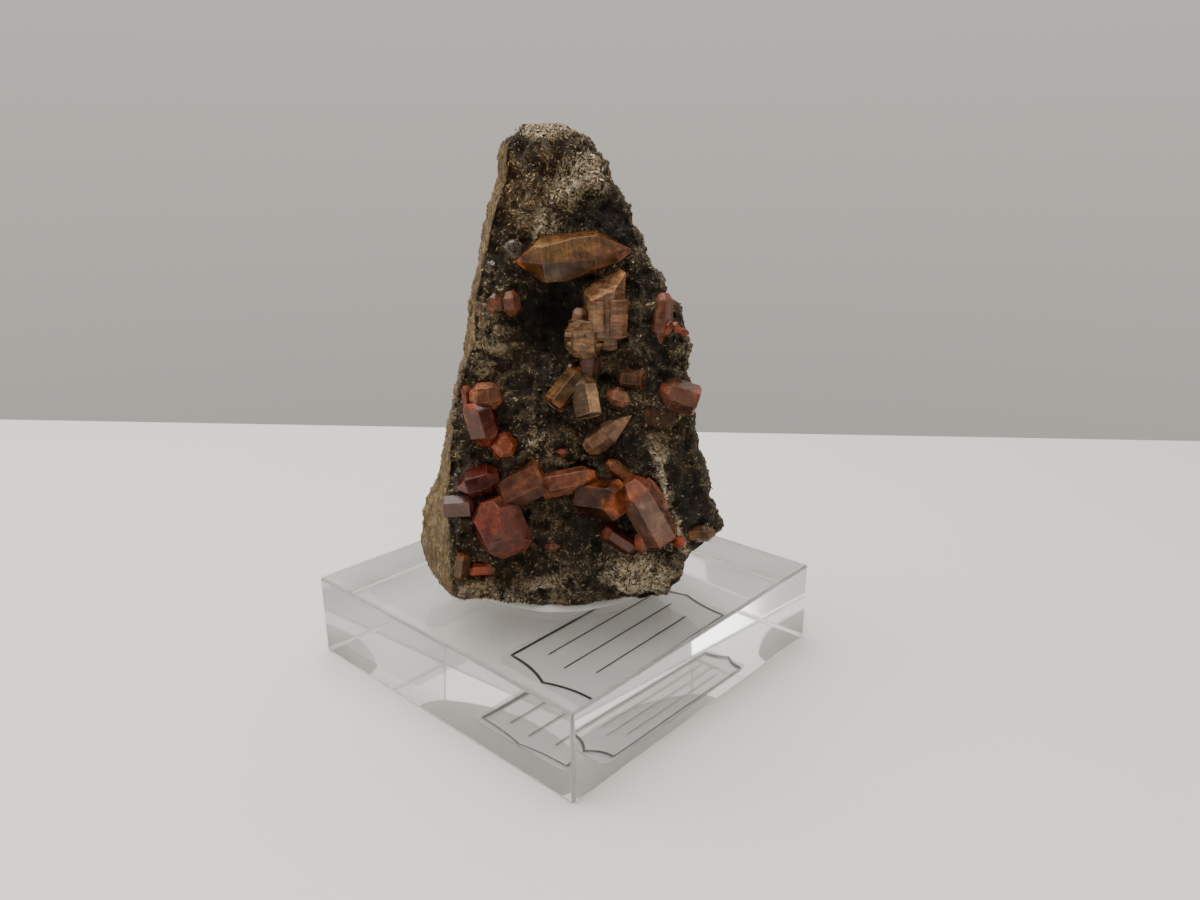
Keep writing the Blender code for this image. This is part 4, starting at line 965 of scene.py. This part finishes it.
    # growth steps, slow unevenness
    off = np.array([seed * 3.7, seed * 1.3, seed * 2.1])
    rad = flat.copy()
    rad[:, 2] = 0
    rr = np.linalg.norm(rad, axis=1, keepdims=True) + 1e-6
    if steps:
        s1 = 0.7 * value_noise(flat * (0.35, 0.35, 1.7) + off, seed) + 0.5 * value_noise(flat * (0.25, 0.25, 4.1) + off, seed + 5)
        rad_step = steps * np.sign(s1) * np.abs(s1) ** 0.4
        flat = flat + rad * rad_step[:, None]
    wob = 0.016 * R * fbm(flat + off, 0.9 * R, 2, seed) + 0.005 * R * fbm(flat + off, 0.35 * R, 2, seed + 1)
    flat = flat + rad / rr * (wob * np.clip(rr[:, 0] / (0.3 * R), 0, 1))[:, None]
    tip = np.clip((np.abs(flat[:, 2]) - 0.22 * length) / (0.28 * length), 0, 1)
    crease = np.where(on_edge, 1.0, np.where(depth <= 0.001, 0.6, 0.0))
    world = flat @ rot.T + seat(x, z, out)
    body, end = TONES[tone]
    k = 1 + 0.10 * (rng.random(3) - 0.5)
    cb = np.tile([*(np.array(body) * k), 1.0], (len(flat), 1))
    ce = np.tile([*(np.array(end) * k), 1.0], (len(flat), 1))
    for mx, mz, rx, rz, tint, amount in MARKS:
        g = amount * np.exp(-((world[:, 0] - mx) / rx) ** 2 - ((world[:, 2] - mz) / rz) ** 2)[:, None]
        if abs(mx - x) < length and abs(mz - z) < length:
            cb[:, :3] += (np.array(tint) - cb[:, :3]) * g
            ce[:, :3] += (np.array(tint) - ce[:, :3]) * g
    values = [cb, ce, tip, crease, flat + off, np.full(len(flat), min(1.0, steps / 0.045))]
    return world, fine_faces, tone_f, sheen_f, values


for name, rows in CRYSTALS.items():
    V, F, base, painted, face_tone, face_sheen = [], [], 0, [], [], []
    for row in rows:
        w, q, tone_f, sheen_f, values = crystal_mesh(row)
        V.append(w)
        F += [[i + base for i in f] for f in q]
        base += len(w)
        painted.append(values)
        face_tone.append(tone_f)
        face_sheen.append(sheen_f)
    ob = mesh_object(name + "_grown", to_row(np.concatenate(V)), F, [CRYSTAL_MAT])
    ob.data.set_sharp_from_angle(angle=math.radians(15))
    for k, key in enumerate(("tone", "tone_end", "tip", "edge", "loc", "rib")):
        paint(ob, key, np.concatenate([v[k] for v in painted]))
    for key, parts in (("facet_tone_and_light", face_tone), ("painted_sheen", face_sheen)):
        ob.data.attributes.new(key, "FLOAT", "FACE").data.foreach_set("value", np.concatenate(parts).astype(np.float32))
    own(ob, "red_crystal", name)

# =============================================================================
# clear nodules
# =============================================================================


def nodule_material():
    m = Nodes("nodule")
    c = m.coords(1000.0)
    n = m.noise(c, 2.2, 3.0)
    m.put(m.bsdf.inputs["Base Color"], m.ramp(n, [(0.40, (0.22, 0.14, 0.08)), (0.60, (0.74, 0.62, 0.47))]))
    m.bsdf.inputs["Transmission Weight"].default_value = 0.93
    m.bsdf.inputs["IOR"].default_value = 1.45
    m.put(m.bsdf.inputs["Roughness"], m.ramp(n, [(0.3, (0.07,) * 3), (0.7, (0.24,) * 3)]))
    m.put(m.bsdf.inputs["Normal"], m.bump(n, 0.4, 0.0002))
    return m.mat


NODULE_MAT = nodule_material()
for name, (x, z, rx, rz, out), seed in (("clear_nodule_upper", (-5.6, 47.1, 1.1, 1.3, 0.3), 4),
                                        ("clear_nodule_lower", (-8.3, 44.9, 0.7, 0.9, 0.2), 9)):
    bm = bmesh.new()
    bmesh.ops.create_icosphere(bm, subdivisions=5, radius=1.0)
    u = np.array([v.co[:] for v in bm.verts])
    rng = np.random.default_rng(seed)
    planes = rng.normal(size=(16, 3))
    planes /= np.linalg.norm(planes, axis=1, keepdims=True)
    reach = rng.uniform(0.82, 1.02, 16)
    dots = np.clip(u @ planes.T, 0, None) / reach
    r = (np.sum(dots ** 34, axis=1) + 0.2) ** (-1 / 34)
    pts = u * r[:, None] * (1 + 0.03 * fbm(u * 3, 1.0, 2, seed))[:, None] * (rx, rx, rz) + seat(x, z, out)
    faces = np.array([[v.index for v in f.verts] for f in bm.faces])
    bm.free()
    ob = mesh_object(name + "_grown", to_row(pts), faces, [NODULE_MAT], smooth=True)
    own(ob, "clear_nodule", name)

# =============================================================================
# block, films, border, pad
# =============================================================================


def block_material():
    m = Nodes("clear_block")
    b = m.bsdf
    b.inputs["Base Color"].default_value = (0.996, 1.0, 1.0, 1)
    b.inputs["Transmission Weight"].default_value = 1.0
    b.inputs["IOR"].default_value = 1.49
    c = m.coords(1000.0)
    rub = m.smooth(m.noise(c, 0.35, 5.0, 0.7), 0.52, 0.78)
    clear = m.math("MULTIPLY_ADD", rub, 0.06, 0.02)
    m.put(b.inputs["Roughness"], m.math("MAXIMUM", clear, m.math("MULTIPLY", m.attr("ground"), 0.42)))
    return m.mat


SQUARE = math.radians(45)


def block_point(u, v, z):
    c, s = math.cos(SQUARE), math.sin(SQUARE)
    return ((c * u - s * v) * MM, (s * u + c * v) * MM, z * MM)


bm = bmesh.new()
bmesh.ops.create_cube(bm, size=1.0)
bmesh.ops.scale(bm, vec=(BLOCK_SIDE * MM * 0.99995, BLOCK_SIDE * MM * 0.99995, BLOCK_HEIGHT * MM), verts=bm.verts)
bmesh.ops.translate(bm, vec=(0, 0, BLOCK_HEIGHT * MM / 2), verts=bm.verts)
bmesh.ops.bevel(bm, geom=list(bm.edges), offset=BLOCK_EDGE * MM, segments=4, affect="EDGES", profile=0.5)
bmesh.ops.rotate(bm, cent=(0, 0, 0), matrix=Matrix.Rotation(SQUARE, 3, "Z"), verts=bm.verts)
me = bpy.data.meshes.new("block_clear")
bm.to_mesh(me)
bm.free()
me.shade_flat()
block = bpy.data.objects.new("block_clear", me)
bpy.context.scene.collection.objects.link(block)
me.materials.append(block_material())
ground = np.array([1.0 if f.area < 1e-4 else 0.0 if abs(f.normal.z) > 0.9 else 0.13 for f in me.polygons], np.float32)
me.attributes.new("ground", "FLOAT", "FACE").data.foreach_set("value", ground)
own(block, "clear_block", "base_block")


def rounded(u, v, w, d, r, n=10):
    pts = []
    for cu, cv, a0 in ((w / 2 - r, d / 2 - r, 0), (-w / 2 + r, d / 2 - r, 90),
                       (-w / 2 + r, -d / 2 + r, 180), (w / 2 - r, -d / 2 + r, 270)):
        for k in range(n + 1):
            a = math.radians(a0 + 90 * k / n)
            pts.append((u + cu + r * math.cos(a), v + cv + r * math.sin(a)))
    return pts


def slab(name, pts, z0, z1, mat):
    n = len(pts)
    verts = [block_point(u, v, z0) for u, v in pts] + [block_point(u, v, z1) for u, v in pts]
    faces = [list(range(n - 1, -1, -1)), list(range(n, 2 * n))]
    faces += [[i, (i + 1) % n, n + (i + 1) % n, n + i] for i in range(n)]
    return mesh_object(name, verts, faces, [mat], smooth=False)


def ribbon(paths, width, z0, z1, name, mat):
    """Flat strips along (u, v) paths; a closed path's last point meets its first."""
    V, F = [], []
    for pts, closed in paths:
        q = np.array(pts, float)
        n = len(q)
        if closed:
            d = np.roll(q, -1, 0) - np.roll(q, 1, 0)
        else:
            d = np.gradient(q, axis=0)
        d /= np.linalg.norm(d, axis=1, keepdims=True)
        nrm = np.stack([-d[:, 1], d[:, 0]], 1) * width / 2
        b = len(V)
        for i in range(n):
            for side in (-1, 1):
                for z in (z0, z1):
                    V.append(block_point(*(q[i] + side * nrm[i]), z))
        last = n if closed else n - 1
        for i in range(last):
            j = (i + 1) % n
            a0, a1, a2, a3 = (b + i * 4 + k for k in range(4))
            c0, c1, c2, c3 = (b + j * 4 + k for k in range(4))
            F += [[a1, a3, c3, c1], [a2, a0, c0, c2], [a3, a2, c2, c3], [a0, a1, c1, c0]]
        if not closed:
            F += [[b, b + 2, b + 3, b + 1]]
            e = b + (n - 1) * 4
            F += [[e + 1, e + 3, e + 2, e]]
    ob = mesh_object(name, V, F, [mat], smooth=False)
    bm2 = bmesh.new()
    bm2.from_mesh(ob.data)
    bmesh.ops.recalc_face_normals(bm2, faces=bm2.faces)
    bm2.to_mesh(ob.data)
    bm2.free()
    return ob


def film_material(name, alpha, color):
    m = Nodes(name)
    c = m.coords(1000.0)
    n = m.noise(c, 0.5, 3.0)
    m.put(m.bsdf.inputs["Base Color"], m.ramp(n, [(0.3, tuple(0.92 * v for v in color)), (0.7, color)]))
    m.bsdf.inputs["Roughness"].default_value = 0.45
    m.bsdf.inputs["Alpha"].default_value = alpha
    return m.mat


def ink_material():
    m = Nodes("ink")
    c = m.coords(1000.0)
    n = m.noise(c, 1.4, 3.0)
    m.put(m.bsdf.inputs["Base Color"], m.ramp(n, [(0.3, (0.012, 0.012, 0.014)), (0.7, (0.03, 0.03, 0.033))]))
    m.bsdf.inputs["Roughness"].default_value = 0.5
    return m.mat


label = slab("label_sheet", rounded(-2.75, -12.5, 30.5, 17.0, 2.0), 0.10, 0.14,
             film_material("label_film", 0.22, (0.80, 0.80, 0.78)))
own(label, "clear_film", "label_film")
blank = slab("blank_sheet", rounded(-3.4, 16.0, 30.8, 17.0, 2.0), 0.10, 0.14,
             film_material("blank_film", 0.14, (0.80, 0.80, 0.78)))
own(blank, "clear_film", "blank_film")

s = np.linspace(-1, 1, 41)
left_end = [(-16.0 - 1.6 * (1 - abs(k)) ** 2.4, -12.6 + 7.5 * k) for k in s]
right_end = [(11.3 + 1.3 * (1 - abs(k)) ** 2.4, -12.6 + 7.5 * k) for k in s]
border = right_end + left_end[::-1]
INK = ink_material()
frame_line = ribbon([(border, True)], 0.42, 0.15, 0.17, "label_border", INK)
own(frame_line, "clear_film")
rules = ribbon([([(u, v) for u in np.linspace(a, b, 12)], False)
                for a, b, v in ((-12.5, 8.5, -8.6), (-13.5, 9.0, -12.4), (-11.5, 7.5, -16.2))],
               0.20, 0.15, 0.17, "label_ruled_lines", INK)
own(rules, "clear_film")


def pad_material():
    m = Nodes("pad")
    c = m.coords(1000.0)
    n = m.noise(c, 0.9, 4.0, 0.6)
    m.put(m.bsdf.inputs["Base Color"], m.ramp(n, [(0.3, (0.74, 0.74, 0.71)), (0.7, (0.86, 0.86, 0.84))]))
    m.bsdf.inputs["Roughness"].default_value = 0.42
    m.bsdf.inputs["Subsurface Weight"].default_value = 0.2
    m.bsdf.inputs["Subsurface Scale"].default_value = 0.001
    m.put(m.bsdf.inputs["Normal"], m.bump(n, 0.3, 0.0003))
    return m.mat


def make_pad():
    """Squeezed disc of putty: uneven rim, rounded edge, gently lumpy top."""
    nt = 160
    th = np.linspace(0, 2 * math.pi, nt, endpoint=False)
    k = 1 + 0.012 * np.sin(3 * th + 0.6) + 0.008 * np.sin(7 * th)
    k = k * (1 - 0.006 + 0.006 * np.sin(13 * th + 1) * np.sin(4 * th))
    prof = [(0.0, -0.02), (0.5, -0.02), (0.985, -0.02), (0.998, 0.10), (1.0, 0.32), (0.997, 0.55),
            (0.990, 0.85), (0.978, 1.10), (0.96, 1.28), (0.93, 1.38), (0.87, 1.42), (0.7, 1.40),
            (0.55, 1.40), (0.4, 1.40), (0.2, 1.40), (0.0, 1.40)]
    rings = []
    for r, z in prof:
        rad = 16.25 * k * max(r, 1e-4)
        p = np.stack([-0.5 + rad * np.cos(th), 3.4 + rad * np.sin(th), np.full(nt, z)], 1)
        if z > 0.6:
            p[:, 2] += 0.05 * fbm(p * (1, 1, 0), 2.5, 3, 7)
        rings.append(p)
    P = np.concatenate(rings[1:-1])
    rows = len(prof) - 2
    V = np.concatenate([P, rings[0].mean(0)[None], rings[-1].mean(0)[None]])
    F = []
    for r in range(rows - 1):
        for i in range(nt):
            j = (i + 1) % nt
            F.append([r * nt + i, r * nt + j, (r + 1) * nt + j, (r + 1) * nt + i])
    bot, top = rows * nt, rows * nt + 1
    for i in range(nt):
        j = (i + 1) % nt
        F.append([bot, j, i])
        F.append([top, (rows - 1) * nt + i, (rows - 1) * nt + j])
    ob = mesh_object("pad_putty", to_row(V), F, [pad_material()])
    own(ob, "white_pad", "mounting_pad")


make_pad()

# =============================================================================
# floor, light, camera
# =============================================================================
floor_mat = Nodes("floor")
fc = floor_mat.coords(1.0)
fn = floor_mat.noise(fc, 8.0, 3.0)
floor_mat.put(floor_mat.bsdf.inputs["Base Color"],
              floor_mat.ramp(fn, [(0.3, (0.635, 0.617, 0.584)), (0.7, (0.66, 0.642, 0.608))]))
floor_mat.bsdf.inputs["Roughness"].default_value = 0.55
floor_mat.bsdf.inputs["Specular IOR Level"].default_value = 0.3
floor = mesh_object("floor", [(-0.9, -0.9, -0.00004), (0.9, -0.9, -0.00004), (0.9, 0.0, -0.00004),
                              (-0.9, 0.2256, -0.00004)], [[0, 1, 2, 3]], [floor_mat.mat], smooth=False)

world = bpy.data.worlds.new("studio")
bpy.context.scene.world = world
world.use_nodes = True
wt = world.node_tree
bg = wt.nodes["Background"]
# plain light room: greyer at the foot of the wall, brighter upwards
direction = wt.nodes.new("ShaderNodeTexCoord").outputs["Generated"]
sep = wt.nodes.new("ShaderNodeSeparateXYZ")
wt.links.new(direction, sep.inputs[0])
height = wt.nodes.new("ShaderNodeMapRange")
height.inputs["From Min"].default_value = -0.4
height.inputs["From Max"].default_value = 1.0
wt.links.new(sep.outputs["Z"], height.inputs["Value"])
shade = wt.nodes.new("ShaderNodeValToRGB")
el = shade.color_ramp.elements
for _ in range(3):
    el.new(0.5)
for e, (pos, v) in zip(el, ((0.08, 0.445), (0.28, 0.54), (0.40, 0.60), (0.56, 0.82), (1.0, 0.92))):
    e.position = pos
    e.color = (v * 1.035, v * 0.970, v * 0.892, 1)
wt.links.new(height.outputs[0], shade.inputs[0])
wt.links.new(shade.outputs[0], bg.inputs["Color"])


def world_step(socket, lo, hi, to_lo, to_hi):
    n = wt.nodes.new("ShaderNodeMapRange")
    n.interpolation_type = "SMOOTHSTEP"
    for key, v in (("From Min", lo), ("From Max", hi), ("To Min", to_lo), ("To Max", to_hi)):
        n.inputs[key].default_value = v
    wt.links.new(socket, n.inputs["Value"])
    return n.outputs[0]


def world_math(op, a, b):
    n = wt.nodes.new("ShaderNodeMath")
    n.operation = op
    for k, v in enumerate((a, b)):
        if isinstance(v, float):
            n.inputs[k].default_value = v
        else:
            wt.links.new(v, n.inputs[k])
    return n.outputs[0]


# the unlit front of the room, below the lights
unlit = world_math("MULTIPLY", world_step(sep.outputs["Y"], -0.80, -0.20, 1.0, 0.0),
                   world_step(sep.outputs["Z"], 0.30, 0.62, 1.0, 0.0))
wt.links.new(world_math("SUBTRACT", 1.0, world_math("MULTIPLY", unlit, 0.72)), bg.inputs["Strength"])


def area(name, loc, target, size, size_y, power, color=(1, 1, 1)):
    data = bpy.data.lights.new(name, "AREA")
    data.shape = "RECTANGLE"
    data.size, data.size_y = size, size_y
    data.energy = power
    data.color = color
    ob = bpy.data.objects.new(name, data)
    bpy.context.scene.collection.objects.link(ob)
    ob.location = loc
    ob.rotation_euler = (Vector(target) - Vector(loc)).to_track_quat("-Z", "Y").to_euler()
    return ob


area("overhead", (-0.06, 0.03, 0.42), (0, 0, 0.02), 0.50, 0.40, 3.2, (1.0, 0.985, 0.96))
area("left_fill", (-0.42, 0.05, 0.22), (0, 0, 0.04), 0.25, 0.25, 0.8, (1.0, 0.99, 0.97)).visible_glossy = False

cam_data = bpy.data.cameras.new("camera")
cam = bpy.data.objects.new("camera", cam_data)
bpy.context.scene.collection.objects.link(cam)
cam_data.sensor_width = 36.0
cam_data.lens = 26.943
cam_data.clip_start, cam_data.clip_end = 0.005, 10.0
pitch, roll = math.radians(17.943), math.radians(-0.2136)
fwd = Vector((0, math.cos(pitch), -math.sin(pitch)))
right0 = Vector((1, 0, 0))
up0 = right0.cross(fwd)
right = right0 * math.cos(roll) + up0 * math.sin(roll)
up = -right0 * math.sin(roll) + up0 * math.cos(roll)
rot = TURN @ Matrix((right, up, -fwd)).transposed()
place = TURN @ Vector((4.873, -120.067, 69.499))
cam.matrix_world = Matrix.Translation(place * MM) @ rot.to_4x4()
bpy.context.scene.camera = cam

bpy.context.view_layer.update()
